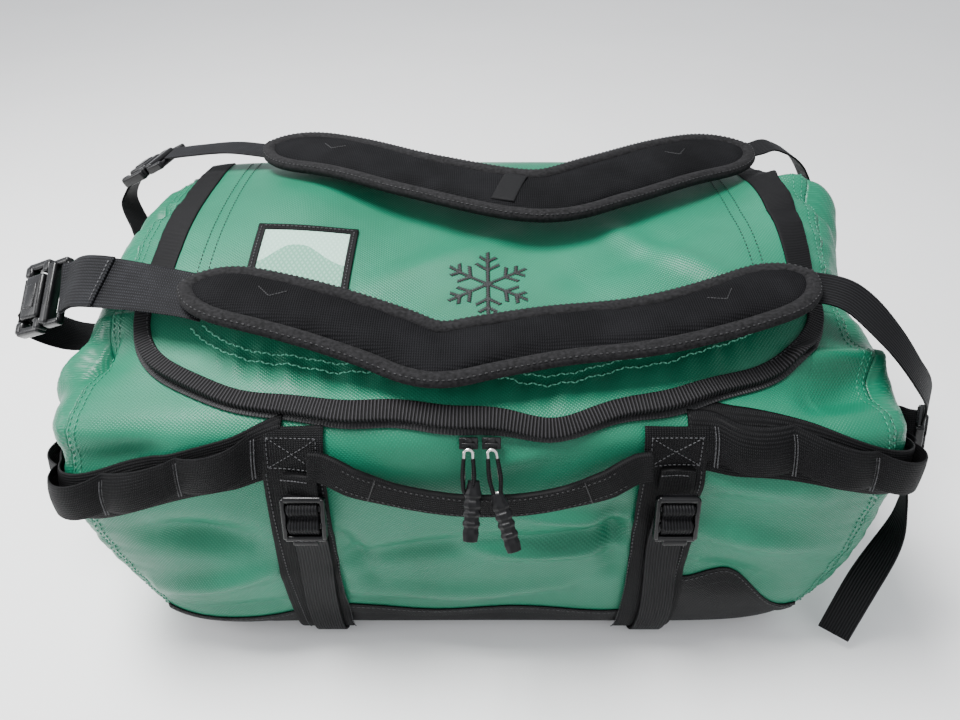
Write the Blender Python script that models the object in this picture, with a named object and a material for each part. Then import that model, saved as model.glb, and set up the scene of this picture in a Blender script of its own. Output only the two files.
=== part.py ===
"""Expedition duffel bag with a zipped D-shaped lid, two padded shoulder straps, haul handles,
daisy chains and compression straps.

Metres. +X is the bag's right end, +Y its rear, +Z up. The origin is on the floor under the middle of the base.
The bag's skin is one smooth closed surface. Every panel, band and strap is laid out on it: a place on the skin
is a distance x along the bag and a girth distance w round it, and lift is a height above it.
"""

import math

import bmesh
import bpy
import numpy as np
from mathutils import Vector

# The bag's skin.
SKIN_MIDDLE = 0.308  # half-length of the bag at its widest height
SKIN_FLOOR = 0.272  # half-length at the floor
SKIN_TOP = 0.292  # half-length at the top
WIDEST_Z = 0.195
HEIGHT = 0.288
SQUARENESS = 10  # exponent of the rounding from the walls to the ends
CENTRE_Z = 0.14  # the sections shrink towards this height at the ends
SETTLE = 0.004  # how far the filled bag settles onto the floor
SETTLE_SOFTNESS = 0.003  # how gently the settled floor turns up into the walls
SEAM_SHRINK = 0.94  # share of the full section where the end panels are sewn on
GIRTH_POINTS = (  # (y, z) of the section, from the middle of the floor forwards and over the top
    (0, 0), (-0.10, 0), (-0.152, 0.002), (-0.176, 0.030), (-0.184, 0.100), (-0.182, 0.180),
    (-0.175, 0.228), (-0.160, 0.2475), (-0.122, 0.2555), (-0.070, 0.270), (0, 0.284), (0.085, 0.290),
    (0.145, 0.283), (0.174, 0.250),
    (0.185, 0.185), (0.186, 0.100), (0.176, 0.030), (0.152, 0.002), (0.10, 0),
)

# Sheets and webbing.
PANEL = 0.0024
GAP = 0.0006
BAND_WIDTH, BAND_LIFT, BAND = 0.044, 0.0014, 0.0013
STRAP_WIDTH, STRAP_LIFT, STRAP = 0.025, 0.0034, 0.0016
DAISY_WIDTH, DAISY_LIFT, DAISY = 0.038, 0.0026, 0.0030
ZIP_LIFT, ZIP = 0.0012, 0.0012

# The lid and the opening under it.
LID_HALF, LID_CORNER = 0.246, 0.096
LID_LIFT = 0.0038
OPENING_INSET = 0.020
BINDING_WIDTH, BINDING_LIFT, BINDING = 0.012, LID_LIFT + PANEL + 0.0010, 0.0012
LID_TAPE_WIDTH = 0.020

# Bands, handles and straps.
BAND_X = 0.131
BASE_RISE = 0.030  # height that the base panel wraps up the walls
HANDLE_HALF, HANDLE_WIDTH, HANDLE = 0.102, 0.020, 0.0034
HANDLE_LIFT, HANDLE_BOW = 0.0090, 0.003
HANDLE_SAG = 0.034
HANDLE_AXIS_Z = 0.235
REAR_HANDLE_AXIS_Z = 0.212
FRONT_PAD_WIDTH, REAR_PAD_WIDTH, PAD = 0.060, 0.070, 0.013
LOCK_SIZE = (0.031, 0.036, 0.005)  # ladder-lock: across the strap, along it, thick
PULL_X = 0.0075
PULL_TILT = math.radians(38)
PULL_WIRE, PULL_CORD_GAP = 0.0018, 0.0012
GRIP_SIZE = (0.011, 0.0085, 0.040)
SLIDER_SIZE = (0.013, 0.0084, 0.0050)

COLOURS = {  # linear colour, roughness, metallic
    "shell_green": ((0.055, 0.235, 0.150), 0.42, 0.0),
    "base_black": ((0.012, 0.012, 0.013), 0.55, 0.0),
    "webbing_black": ((0.015, 0.015, 0.017), 0.80, 0.0),
    "binding_black": ((0.018, 0.018, 0.020), 0.75, 0.0),
    "pad_black": ((0.020, 0.020, 0.022), 0.85, 0.0),
    "plastic_black": ((0.010, 0.010, 0.011), 0.22, 0.0),
    "zip_black": ((0.012, 0.012, 0.013), 0.60, 0.0),
    "steel": ((0.62, 0.62, 0.63), 0.25, 1.0),
    "window_film": ((0.70, 0.82, 0.76), 0.12, 0.0),
    "card_pale": ((0.50, 0.68, 0.60), 0.60, 0.0),
    "foam_grey": ((0.10, 0.10, 0.11), 0.90, 0.0),
}


def clear_scene():
    for obj in list(bpy.data.objects):
        bpy.data.objects.remove(obj)


def material(name):
    found = bpy.data.materials.get(name)
    if found:
        return found
    colour, roughness, metallic = COLOURS[name]
    made = bpy.data.materials.new(name)
    made.use_nodes = True
    shader = made.node_tree.nodes["Principled BSDF"]
    shader.inputs["Base Color"].default_value = (*colour, 1)
    shader.inputs["Roughness"].default_value = roughness
    shader.inputs["Metallic"].default_value = metallic
    made.diffuse_color = (*colour, 1)
    return made


# --- The skin ---------------------------------------------------------------------------------------------


def section_table(points, per_span=40):
    """(girth distance, y, z) along a closed smooth curve through the section's points."""
    corners = np.array(points, float)
    count = len(corners)
    ts = np.linspace(0, 1, per_span, endpoint=False)[:, None]
    spans = []
    for i in range(count):
        a, b, c, d = (corners[(i + j) % count] for j in (-1, 0, 1, 2))
        spans.append(0.5 * (2 * b + (c - a) * ts + (2 * a - 5 * b + 4 * c - d) * ts**2
                            + (3 * b - a - 3 * c + d) * ts**3))
    line = np.vstack([*spans, corners[:1]])
    line[:, 1] = np.maximum(line[:, 1], 0)
    steps = np.linalg.norm(np.diff(line, axis=0), axis=1)
    return np.column_stack([np.concatenate([[0], np.cumsum(steps)]), line])


SECTION = section_table(GIRTH_POINTS)
GIRTH = SECTION[-1, 0]
FRONT_WALL = SECTION[(SECTION[:, 1] < -0.12) & (SECTION[:, 2] > 0.01)]  # from the floor up
REAR_WALL = SECTION[(SECTION[:, 1] > 0.12) & (SECTION[:, 2] > 0.01)][::-1]


def girth_near(y, z):
    """The girth distance of the section's point nearest to (y, z)."""
    return SECTION[np.argmin(np.hypot(SECTION[:, 1] - y, SECTION[:, 2] - z)), 0]


def section_point(w):
    w = w % GIRTH
    return np.interp(w, SECTION[:, 0], SECTION[:, 1]), np.interp(w, SECTION[:, 0], SECTION[:, 2])


def reach(z):
    """The bag's half-length at height z."""
    if z < WIDEST_Z:
        return SKIN_MIDDLE - (SKIN_MIDDLE - SKIN_FLOOR) * ((WIDEST_Z - z) / WIDEST_Z) ** 2
    return SKIN_MIDDLE - (SKIN_MIDDLE - SKIN_TOP) * ((z - WIDEST_Z) / (HEIGHT - WIDEST_Z)) ** 2


def settled(z):
    """A height on the skin once the bag has settled onto the floor, flat at zero under its base."""
    def softened(q):
        return 0.5 * (q + math.hypot(q, SETTLE_SOFTNESS))

    return max(0.0, softened(z - SETTLE) - softened(-SETTLE))


def at_shrink(w, k, side):
    """The skin's point where the section round the bag has shrunk to the share k, on the end given by side."""
    y, z = section_point(w)
    raw_z = CENTRE_Z + k * (z - CENTRE_Z)
    x = side * reach(raw_z) * (1 - k**SQUARENESS) ** (1 / SQUARENESS)
    return np.array([x, k * y, settled(raw_z)])


def at_length(x, w):
    """The skin's point a distance x along the bag and w round it."""
    y, z = section_point(w)
    k = 1.0
    for _ in range(5):
        share = min(0.999, abs(x) / reach(CENTRE_Z + k * (z - CENTRE_Z)))
        k = (1 - share**SQUARENESS) ** (1 / SQUARENESS)
    return np.array([x, k * y, settled(CENTRE_Z + k * (z - CENTRE_Z))])


def unit(v):
    return v / max(np.linalg.norm(v), 1e-12)


def skin(x, w, lift=0.0):
    step = 0.002
    along = at_length(x + step, w) - at_length(x - step, w)
    round_ = at_length(x, w + step) - at_length(x, w - step)
    return at_length(x, w) + lift * unit(np.cross(along, round_))


def cap(w, k, side, lift=0.0):
    """A point of an end panel, with its height above the skin."""
    if k < 1e-6:
        return at_shrink(w, k, side) + np.array([side * lift, 0, 0])
    step = 0.004
    outward = at_shrink(w, k + step, side) - at_shrink(w, k - step, side)
    round_ = at_shrink(w + step, k, side) - at_shrink(w - step, k, side)
    return at_shrink(w, k, side) + side * lift * unit(np.cross(round_, outward))


def girdle(z, angle, lift):
    """A point of the bag's outline at height z, in the direction angle from its middle, seen from above."""
    wall = FRONT_WALL if angle < 0 else REAR_WALL
    half_depth = np.interp(z, wall[:, 2], np.abs(wall[:, 1]))
    half_length = reach(z)

    def outline(a):
        c, s = abs(math.cos(a)) / half_length, abs(math.sin(a)) / half_depth
        r = (c**SQUARENESS + s**SQUARENESS) ** (-1 / SQUARENESS)
        return np.array([r * math.cos(a), r * math.sin(a), settled(z)])

    step = 0.01
    along = outline(angle + step) - outline(angle - step)
    return outline(angle) + lift * unit(np.array([along[1], -along[0], 0]))


def stops(w_from, w_to, step=0.010):
    """Places round the girth, the same ones for every sheet, so that sheets over each other stay parallel."""
    low, high = min(w_from, w_to), max(w_from, w_to)
    between = [i * step for i in range(math.ceil(low / step), math.floor(high / step) + 1)]
    inside = [w for w in between if low + step / 4 < w < high - step / 4]
    return [low, *inside, high]


# Places along the girth.
W_FRONT_BASE = girth_near(-0.176, BASE_RISE)
W_FRONT_EDGE = girth_near(-0.166, 0.243)  # the lid's front edge
W_HINGE = girth_near(0.152, 0.280)
W_REAR_BASE = girth_near(0.176, BASE_RISE)


# --- Solids -----------------------------------------------------------------------------------------------


def add_object(name, mesh, colour):
    obj = bpy.data.objects.new(name, mesh)
    bpy.context.scene.collection.objects.link(obj)
    mesh.materials.append(material(colour))
    return obj


def mesh_from(name, points, faces, colour):
    """One closed body from its points and faces, with the faces turned outwards."""
    mesh = bpy.data.meshes.new(name)
    mesh.from_pydata([tuple(float(c) for c in p) for p in points], [], faces)
    bm = bmesh.new()
    bm.from_mesh(mesh)
    bmesh.ops.triangulate(bm, faces=bm.faces)
    bmesh.ops.recalc_face_normals(bm, faces=bm.faces)
    if bm.calc_volume(signed=True) < 0:
        bmesh.ops.reverse_faces(bm, faces=bm.faces)
    bm.to_mesh(mesh)
    bm.free()
    return add_object(name, mesh, colour)


def grid_solid(name, outer, inner, colour):
    """A closed sheet between two grids of points, given as rows."""
    rows, columns = len(outer), len(outer[0])
    points = [p for row in outer for p in row] + [p for row in inner for p in row]
    below = rows * columns
    faces = []
    for i in range(rows - 1):
        for j in range(columns - 1):
            a, b = i * columns + j, (i + 1) * columns + j
            faces.append((a, a + 1, b + 1, b))
            faces.append((below + a, below + b, below + b + 1, below + a + 1))
    rim = [i * columns for i in range(rows)]
    rim += [(rows - 1) * columns + j for j in range(1, columns)]
    rim += [i * columns + columns - 1 for i in range(rows - 2, -1, -1)]
    rim += [j for j in range(columns - 2, 0, -1)]
    for a, b in zip(rim, rim[1:] + rim[:1]):
        faces.append((a, b, below + b, below + a))
    return mesh_from(name, points, faces, colour)


def sheet_on_skin(name, rows, lift, thickness, colour):
    """A sheet over rows of (x, w) places, its underside at lift above the skin."""
    top = [[skin(x, w, lift + thickness) for x, w in row] for row in rows]
    bottom = [[skin(x, w, lift) for x, w in row] for row in rows]
    return grid_solid(name, top, bottom, colour)


def band_on_skin(name, path, half_x, half_w, lift, thickness, colour):
    """A flat band along a path of (x, w) places, whose edges are half_x and half_w to each side."""
    rows = [[(x - half_x, w - half_w), (x + half_x, w + half_w)] for x, w in path]
    return sheet_on_skin(name, rows, lift, thickness, colour)


def ribbon(name, centres, across, normals, width, thickness, colour):
    """A flat strap along centres, with its width along across and its thickness along normals."""
    top, bottom = [], []
    for c, a, n in zip(centres, across, normals):
        edge = np.asarray(c, float) - unit(np.asarray(a, float)) * width / 2
        far = np.asarray(c, float) + unit(np.asarray(a, float)) * width / 2
        rise = unit(np.asarray(n, float)) * thickness / 2
        top.append([edge + rise, far + rise])
        bottom.append([edge - rise, far - rise])
    return grid_solid(name, top, bottom, colour)


def smooth_line(points, count):
    """count points evenly along a smooth curve through the given ones."""
    line = np.array(points, float)
    padded = np.vstack([2 * line[0] - line[1], line, 2 * line[-1] - line[-2]])
    ts = np.linspace(0, 1, 24, endpoint=False)[:, None]
    fine = []
    for a, b, c, d in zip(padded, padded[1:], padded[2:], padded[3:]):
        fine.append(0.5 * (2 * b + (c - a) * ts + (2 * a - 5 * b + 4 * c - d) * ts**2
                           + (3 * b - a - 3 * c + d) * ts**3))
    fine = np.vstack([*fine, line[-1:]])
    run = np.concatenate([[0], np.cumsum(np.linalg.norm(np.diff(fine, axis=0), axis=1))])
    wanted = np.linspace(0, run[-1], count)
    return np.column_stack([np.interp(wanted, run, fine[:, i]) for i in range(line.shape[1])])


def box_solid(name, centre, size, axes, colour, chamfer=0.0):
    """A block whose sides run along the three axes given, with chamfered edges."""
    bm = bmesh.new()
    bmesh.ops.create_cube(bm, size=1)
    for vert in bm.verts:
        local = Vector([c * s for c, s in zip(vert.co, size)])
        vert.co = local
    if chamfer:
        bmesh.ops.bevel(bm, geom=bm.edges[:], offset=chamfer, segments=1, affect="EDGES")
    turn = [Vector(unit(np.asarray(axis, float))) for axis in axes]
    for vert in bm.verts:
        x, y, z = vert.co
        vert.co = Vector(centre) + turn[0] * x + turn[1] * y + turn[2] * z
    if bm.calc_volume(signed=True) < 0:
        bmesh.ops.reverse_faces(bm, faces=bm.faces)
    mesh = bpy.data.meshes.new(name)
    bm.to_mesh(mesh)
    bm.free()
    return add_object(name, mesh, colour)


def cut(obj, cutters):
    """Cuts each block out of the object. The blocks stay as hidden helpers."""
    for cutter in cutters:
        cutter.hide_render = True
        cutter.display_type = "WIRE"
        made = obj.modifiers.new(cutter.name, "BOOLEAN")
        made.operation = "DIFFERENCE"
        made.solver = "EXACT"
        made.object = cutter
    return obj


def set_origin(obj, place):
    """Moves the object's origin to a place without moving its shape."""
    shift = Vector(place) - obj.location
    for vert in obj.data.vertices:
        vert.co -= shift
    obj.location = Vector(place)


# --- Panels -----------------------------------------------------------------------------------------------


def seam_x(w):
    """How far along the bag the end panel's seam is, at w round it."""
    return abs(at_shrink(w, SEAM_SHRINK, 1)[0]) - GAP


def wall_rows(w_low, w_high, steps, columns, half=None):
    """Rows of (x, w) places across a wall from seam to seam."""
    rows = []
    for w in np.linspace(w_low, w_high, steps + 1):
        edge = half or seam_x(w)
        rows.append([(edge * math.sin(math.pi / 2 * s), w) for s in np.linspace(-1, 1, columns + 1)])
    return rows


def corner_w(x, half, corner, w_edge):
    """The girth distance of a U-shaped outline's front edge at x: straight, then round its corner."""
    past = abs(x) - (half - corner)
    if past <= 0:
        return w_edge
    return w_edge + corner - math.sqrt(max(0.0, corner**2 - past**2))


def outline_columns(half, corner, count):
    """Places across a U-shaped outline, closer together round its corners."""
    straight = np.linspace(0, half - corner, count // 2, endpoint=False)
    turned = [half - corner + corner * math.sin(a) for a in np.linspace(0, math.pi / 2, count // 2 + 1)]
    right = [*straight, *turned]
    return [-x for x in right[:0:-1]] + right


OPENING_HALF = LID_HALF - OPENING_INSET
OPENING_CORNER = LID_CORNER - OPENING_INSET * 0.6
W_OPENING = W_FRONT_EDGE + OPENING_INSET
W_CORNER_END = W_OPENING + OPENING_CORNER


def make_base():
    wrap = wall_rows(W_REAR_BASE + GAP - GIRTH, W_FRONT_BASE - GAP, 16, 8)
    sheet_on_skin("base_panel", wrap, -PANEL, PANEL, "base_black")
    inner = wall_rows(-0.135, 0.135, 2, 2, half=0.235)
    sheet_on_skin("base_pad", inner, -PANEL - GAP - 0.005, 0.005, "foam_grey")


def make_front_panel():
    columns = outline_columns(OPENING_HALF, OPENING_CORNER, 10)
    rows = []
    for share in np.linspace(0, 1, 13):
        row = []
        for x in columns:
            top = corner_w(x, OPENING_HALF, OPENING_CORNER, W_OPENING)
            row.append((x, W_FRONT_BASE + GAP + share * (top - W_FRONT_BASE - GAP)))
        w = W_FRONT_BASE + GAP + share * (W_CORNER_END - W_FRONT_BASE - GAP)
        ends = [seam_x(w), (seam_x(w) + OPENING_HALF) / 2]
        rows.append([(-x, w) for x in ends] + row + [(x, w) for x in reversed(ends)])
    sheet_on_skin("front_panel", rows, -PANEL, PANEL, "shell_green")


def make_surrounds():
    for name, side in (("left", -1), ("right", 1)):
        rows = []
        for w in stops(W_CORNER_END + GAP, W_HINGE - GAP, 0.014):
            xs = np.linspace(OPENING_HALF, seam_x(w), 4)
            rows.append([(side * x, w) for x in xs])
        sheet_on_skin(f"surround_{name}", rows, -PANEL, PANEL, "shell_green")


def make_rear_panel():
    rows = wall_rows(W_HINGE + GAP, W_REAR_BASE - GAP, 9, 8)
    sheet_on_skin("rear_panel", rows, -PANEL, PANEL, "shell_green")


def make_end_panel(name, side):
    """An end panel: rings of the shrinking section, closed at the middle."""
    around = 28
    shrinks = (SEAM_SHRINK - 0.002, 0.86, 0.70, 0.40)
    points, faces = [], []
    for lift in (0.0, -PANEL):
        for k in shrinks:
            points += [cap(GIRTH * i / around, k, side, lift) for i in range(around)]
        points.append(cap(0, 0, side, lift))
    layer = around * len(shrinks) + 1
    for start in (0, layer):
        for ring in range(len(shrinks) - 1):
            low = start + ring * around
            for i in range(around):
                j = (i + 1) % around
                faces.append((low + i, low + j, low + around + j, low + around + i))
        last = start + (len(shrinks) - 1) * around
        faces += [(last + i, last + (i + 1) % around, start + layer - 1) for i in range(around)]
    faces += [(i, (i + 1) % around, layer + (i + 1) % around, layer + i) for i in range(around)]
    mesh_from(name, points, faces, "shell_green")


# --- The lid ----------------------------------------------------------------------------------------------


def u_path(half, corner, w_edge, w_end, inset, corner_steps=9):
    """(x, w, x inwards, w inwards) along a U-shaped line parallel to an outline, from the left rear round."""
    half, corner, w_edge = half - inset, corner - inset, w_edge + inset
    side_ws = stops(w_end, w_edge + corner, 0.014)[::-1]
    left = [(-half, w, 1.0, 0.0) for w in side_ws[:-1]]
    turn = []
    for a in np.linspace(0, math.pi / 2, corner_steps + 1):
        x, w = -(half - corner) - corner * math.cos(a), w_edge + corner - corner * math.sin(a)
        turn.append((x, w, math.cos(a), math.sin(a)))
    middle = [(x, w_edge, 0.0, 1.0) for x in np.linspace(-(half - corner), half - corner, 9)[1:-1]]
    mirrored = [(-x, w, -ix, iw) for x, w, ix, iw in reversed(left + turn)]
    return left + turn + middle + mirrored


def u_band(name, inset, width, lift, thickness, colour, w_end):
    """A band of constant width along the lid's outline."""
    rows = []
    for x, w, inward_x, inward_w in u_path(LID_HALF, LID_CORNER, W_FRONT_EDGE, w_end, inset + width / 2):
        dx, dw = inward_x * width / 2, inward_w * width / 2
        rows.append([(x - dx, w - dw), (x + dx, w + dw)])
    return sheet_on_skin(name, rows, lift, thickness, colour)


def hinge_axis():
    return skin(0, W_HINGE, LID_LIFT)


def make_lid():
    columns = outline_columns(LID_HALF, LID_CORNER, 10)
    rows = []
    for share in np.linspace(0, 1, 22):
        row = []
        for x in columns:
            edge = corner_w(x, LID_HALF, LID_CORNER, W_FRONT_EDGE)
            row.append((x, W_HINGE - 2 * GAP + share * (edge - W_HINGE + 2 * GAP)))
        rows.append(row)
    pieces = [sheet_on_skin("lid_panel", rows, LID_LIFT, PANEL, "shell_green")]
    w_tape = W_FRONT_EDGE + LID_CORNER + 0.012
    pieces.append(
        u_band("lid_binding", 0.0, BINDING_WIDTH, BINDING_LIFT, BINDING, "binding_black", w_tape - GAP)
    )
    for name, side in (("left", -1), ("right", 1)):
        path = [(side * (LID_HALF - LID_TAPE_WIDTH / 2), w) for w in stops(w_tape, W_HINGE - 0.008)]
        tape = band_on_skin(f"lid_tape_{name}", path, LID_TAPE_WIDTH / 2, 0, BINDING_LIFT, BINDING,
                            "binding_black")
        pieces.append(tape)
    return pieces + make_id_window()


def make_id_window():
    """The clear pocket for a name card: a card under a film held by a sewn frame."""
    x_low, x_high = -0.177, -0.098
    w_low, w_high = girth_near(-0.066, 0.271), girth_near(0.014, 0.286)
    lift = LID_LIFT + PANEL + GAP
    edge = 0.006

    def pane(name, inset, low, thickness, colour):
        rows = []
        for w in np.linspace(w_low + inset, w_high - inset, 5):
            rows.append([(x, w) for x in np.linspace(x_low + inset, x_high - inset, 3)])
        return sheet_on_skin(name, rows, low, thickness, colour)

    card = pane("id_card", edge + 0.001, lift, 0.0006, "card_pale")
    film = pane("id_window_film", edge + 0.001, lift + 0.0006 + 0.0004, 0.0005, "window_film")
    frame = pane("id_window_frame", 0.0, lift, 0.0016, "binding_black")
    hole = pane("id_window_hole", edge, lift - 0.002, 0.006, "binding_black")
    cut(frame, [hole])
    return [card, film, frame]


def make_zip():
    """The zip's two tapes: one sewn round the body's opening, one under the lid's edge."""
    w_end = W_HINGE - 0.010
    u_band("zip_tape_body", -0.005, 0.012, ZIP_LIFT, ZIP, "zip_black", w_end)
    return u_band("zip_tape_lid", 0.0085, 0.009, ZIP_LIFT, ZIP, "zip_black", w_end)


W_ZIP = W_FRONT_EDGE - 0.006


def pull_pivot(side):
    """Where a zip pull hangs from its slider."""
    return skin(side * PULL_X, W_ZIP, 0.0105)


def make_slider(name, side):
    """A zip slider, on the zip's teeth just below the lid's edge."""
    normal = unit(skin(0, W_ZIP, 0.01) - skin(0, W_ZIP, 0))
    along = np.array([1.0, 0, 0])
    centre = skin(side * PULL_X, W_ZIP, ZIP_LIFT + ZIP + GAP + SLIDER_SIZE[2] / 2)
    box_solid(name, centre, SLIDER_SIZE, (along, np.cross(normal, along), normal), "plastic_black", 0.0012)


def make_pull(side_name, side):
    """The wire loop on a slider, and the moulded grip below it."""
    pivot = pull_pivot(side) + np.array([0, -0.0022, 0])
    down = np.array([0, -math.sin(PULL_TILT), -math.cos(PULL_TILT)])
    out = np.array([0, -math.cos(PULL_TILT), math.sin(PULL_TILT)])
    along = np.array([1.0, 0, 0])
    wire_length, wire_width = 0.028, 0.0075
    centre = pivot + down * (wire_length / 2 + 0.001)
    wire = box_solid(f"zip_wire_{side_name}", centre, (wire_width, wire_length, PULL_WIRE),
                     (along, down, out), "steel", 0.0)
    hole = box_solid(f"zip_wire_{side_name}_hole", centre, (wire_width - 2 * PULL_WIRE,
                     wire_length - 2 * PULL_WIRE, 0.01), (along, down, out), "steel")
    cut(wire, [hole])
    start = pivot + down * (wire_length + 0.001 + PULL_CORD_GAP)
    grip = box_solid(f"zip_grip_{side_name}", start + down * GRIP_SIZE[2] / 2,
                     (GRIP_SIZE[0], GRIP_SIZE[2], GRIP_SIZE[1]), (along, down, out), "plastic_black", 0.0016)
    return [wire, grip]


# --- Bands, daisy chains and compression straps ------------------------------------------------------------

W_FRONT_BAND_TOP = W_FRONT_EDGE - 0.008
W_FRONT_LOCK = girth_near(-0.179, 0.186)
W_REAR_BAND_TOP = girth_near(0.176, 0.246)
W_REAR_LOCK = girth_near(0.185, 0.138)
W_FRONT_BAND_END = girth_near(-0.170, 0.016)
W_REAR_BAND_END = girth_near(0.170, 0.016)


def make_ladder_lock(name, centre, across, along, normal):
    """A ladder-lock buckle: a frame with a slot for the sewn webbing and one for the adjustable strap."""
    width, height, thick = LOCK_SIZE
    lock = box_solid(name, centre, (width, height, thick), (across, along, normal), "plastic_black", 0.0012)
    holes = []
    for label, shift in (("upper", 0.0082), ("lower", -0.0082)):
        place = np.asarray(centre, float) + unit(np.asarray(along, float)) * shift
        holes.append(box_solid(f"{name}_{label}_slot", place, (width - 0.005, 0.0085, 0.02),
                               (across, along, normal), "plastic_black"))
    return cut(lock, holes)


def make_compression(name, x, w_top, w_lock, w_base, downwards):
    """One vertical band with the sewn tab, ladder-lock and adjustable strap on it."""
    band = [(x, w) for w in stops(w_top, w_base)]
    band_on_skin(f"band_{name}", band, BAND_WIDTH / 2, 0, BAND_LIFT, BAND, "webbing_black")
    half = LOCK_SIZE[1] / 2
    tab = [(x, w) for w in stops(w_lock - downwards * (half + 0.030), w_lock - downwards * (half + 0.001))]
    band_on_skin(f"tab_{name}", tab, STRAP_WIDTH / 2, 0, STRAP_LIFT, 2 * STRAP, "webbing_black")
    strap = [(x, w) for w in stops(w_lock + downwards * (half + 0.001), w_base)]
    band_on_skin(f"compression_strap_{name}", strap, STRAP_WIDTH / 2, 0, STRAP_LIFT, STRAP, "webbing_black")
    lift = STRAP_LIFT + LOCK_SIZE[2] / 2 + 0.0004
    centre = skin(x, w_lock, lift)
    normal = unit(skin(x, w_lock, 0.01) - skin(x, w_lock, 0))
    across = np.array([1.0, 0, 0])
    lock = make_ladder_lock(f"ladder_lock_{name}", centre, across, np.cross(normal, across), normal)
    pivot = skin(x, w_lock - downwards * half, lift)
    set_origin(lock, pivot)


def make_daisy(name, side):
    """The webbing chain round one end, from the front band to the rear one."""
    lift = DAISY_LIFT
    front_angle = math.atan2(-0.164, BAND_X + BAND_WIDTH / 2 + 0.004)
    angles = np.linspace(front_angle, -front_angle, 200)
    line = np.array([girdle(0.18, a, lift) for a in angles])
    run = np.concatenate([[0], np.cumsum(np.linalg.norm(np.diff(line, axis=0), axis=1))])
    top, bottom = [], []
    for distance in np.linspace(0, run[-1], 44):
        angle = np.interp(distance, run, angles)
        share = distance / run[-1]
        rise = 0.052 * max(0.0, 1 - share / 0.30) + 0.040 * max(0.0, (share - 0.7) / 0.3)
        z = 0.168 + rise
        edges = [(girdle(z + dz, angle, lift), girdle(z + dz, angle, lift + DAISY))
                 for dz in (-DAISY_WIDTH / 2, DAISY_WIDTH / 2)]
        bottom.append([low * (side, 1, 1) for low, _ in edges])
        top.append([high * (side, 1, 1) for _, high in edges])
    grid_solid(name, top, bottom, "webbing_black")


# --- Handles ----------------------------------------------------------------------------------------------


def make_handle(name, face, axis_z, sag):
    """A haul handle: webbing between two bands, bowed by sag below its ends, or above them if negative."""
    turn = -1 if sag > 0 else 1
    ends_z = axis_z + turn * (HANDLE_WIDTH / 2 + 0.001)
    centres, across, normals = [], [], []
    for x in np.linspace(-HANDLE_HALF, HANDLE_HALF, 15):
        bow = 1 - (x / HANDLE_HALF) ** 2
        z = ends_z - sag * bow
        w = girth_near(0.18 * face, z)
        normal = unit(skin(x, w, 0.01) - skin(x, w, 0))
        slope = 2 * sag * x / HANDLE_HALF**2
        tangent = unit(np.array([1.0, 0, slope]))
        centres.append(skin(x, w, HANDLE_LIFT + HANDLE / 2 + HANDLE_BOW * bow))
        across.append(np.cross(normal, tangent))
        normals.append(normal)
    handle = ribbon(name, centres, across, normals, HANDLE_WIDTH, HANDLE, "webbing_black")
    set_origin(handle, (0, centres[0][1], axis_z))


# --- Shoulder straps ---------------------------------------------------------------------------------------

FRONT_PAD = ((-0.206, -0.083, 0.297), (-0.170, -0.089, 0.295), (-0.118, -0.101, 0.289), (-0.068, -0.116, 0.281),
             (-0.031, -0.130, 0.276), (0.004, -0.123, 0.277), (0.05, -0.1135, 0.279), (0.106, -0.1095, 0.283),
             (0.146, -0.103, 0.288), (0.184, -0.091, 0.292), (0.232, -0.070, 0.296))
REAR_PAD = ((-0.192, 0.130, 0.307), (-0.12, 0.103, 0.310), (-0.045, 0.062, 0.311), (0.045, 0.028, 0.311),
            (0.105, 0.054, 0.311), (0.17, 0.093, 0.310), (0.242, 0.126, 0.307))


def level_ribbon(name, points, count, width, thickness, colour, lean=0.0):
    """A strap along a route, lying flat, leaning forwards by the slope lean."""
    line = smooth_line(points, count)
    tangents = np.gradient(line, axis=0)
    normals = [unit(np.array([0, lean, 1.0])) for _ in line]
    across = [np.cross(n, t) for n, t in zip(normals, tangents)]
    return ribbon(name, line, across, normals, width, thickness, colour)


def twisted_ribbon(name, points, start_across, end_across, count, width, thickness, colour):
    """A strap along a route, whose width turns from one direction to another on the way."""
    line = smooth_line(points, count)
    tangents = np.gradient(line, axis=0)
    centres, across, normals = [], [], []
    for i, (c, t) in enumerate(zip(line, tangents)):
        share = i / (count - 1)
        wanted = (1 - share) * np.asarray(start_across, float) + share * np.asarray(end_across, float)
        t = unit(t)
        a = unit(wanted - t * wanted.dot(t))
        centres.append(c)
        across.append(a)
        normals.append(np.cross(t, a))
    return ribbon(name, centres, across, normals, width, thickness, colour)


FRONT_LOCK_AT = np.array([0.338, -0.111, 0.182])
REAR_LOCK_AT = np.array([0.328, 0.112, 0.186])
FRONT_BUCKLE_AT = np.array([-0.340, -0.035, 0.257])
REAR_BUCKLE_AT = np.array([-0.306, 0.141, 0.286])


def make_buckle(strap, centre, towards, across):
    """A side-release buckle in its two halves: the socket on the anchor's side, the plug on the strap's side."""
    towards, across = unit(np.asarray(towards, float)), unit(np.asarray(across, float))
    normal = np.cross(towards, across)
    axes = (towards, across, normal)
    socket_size, plug_size = (0.030, 0.046, 0.011), (0.020, 0.042, 0.009)
    box_solid(f"{strap}_buckle_socket", centre - towards * 0.0155, socket_size, axes, "plastic_black", 0.002)
    box_solid(f"{strap}_buckle_plug", centre + towards * 0.0105, plug_size, axes, "plastic_black", 0.002)


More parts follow.
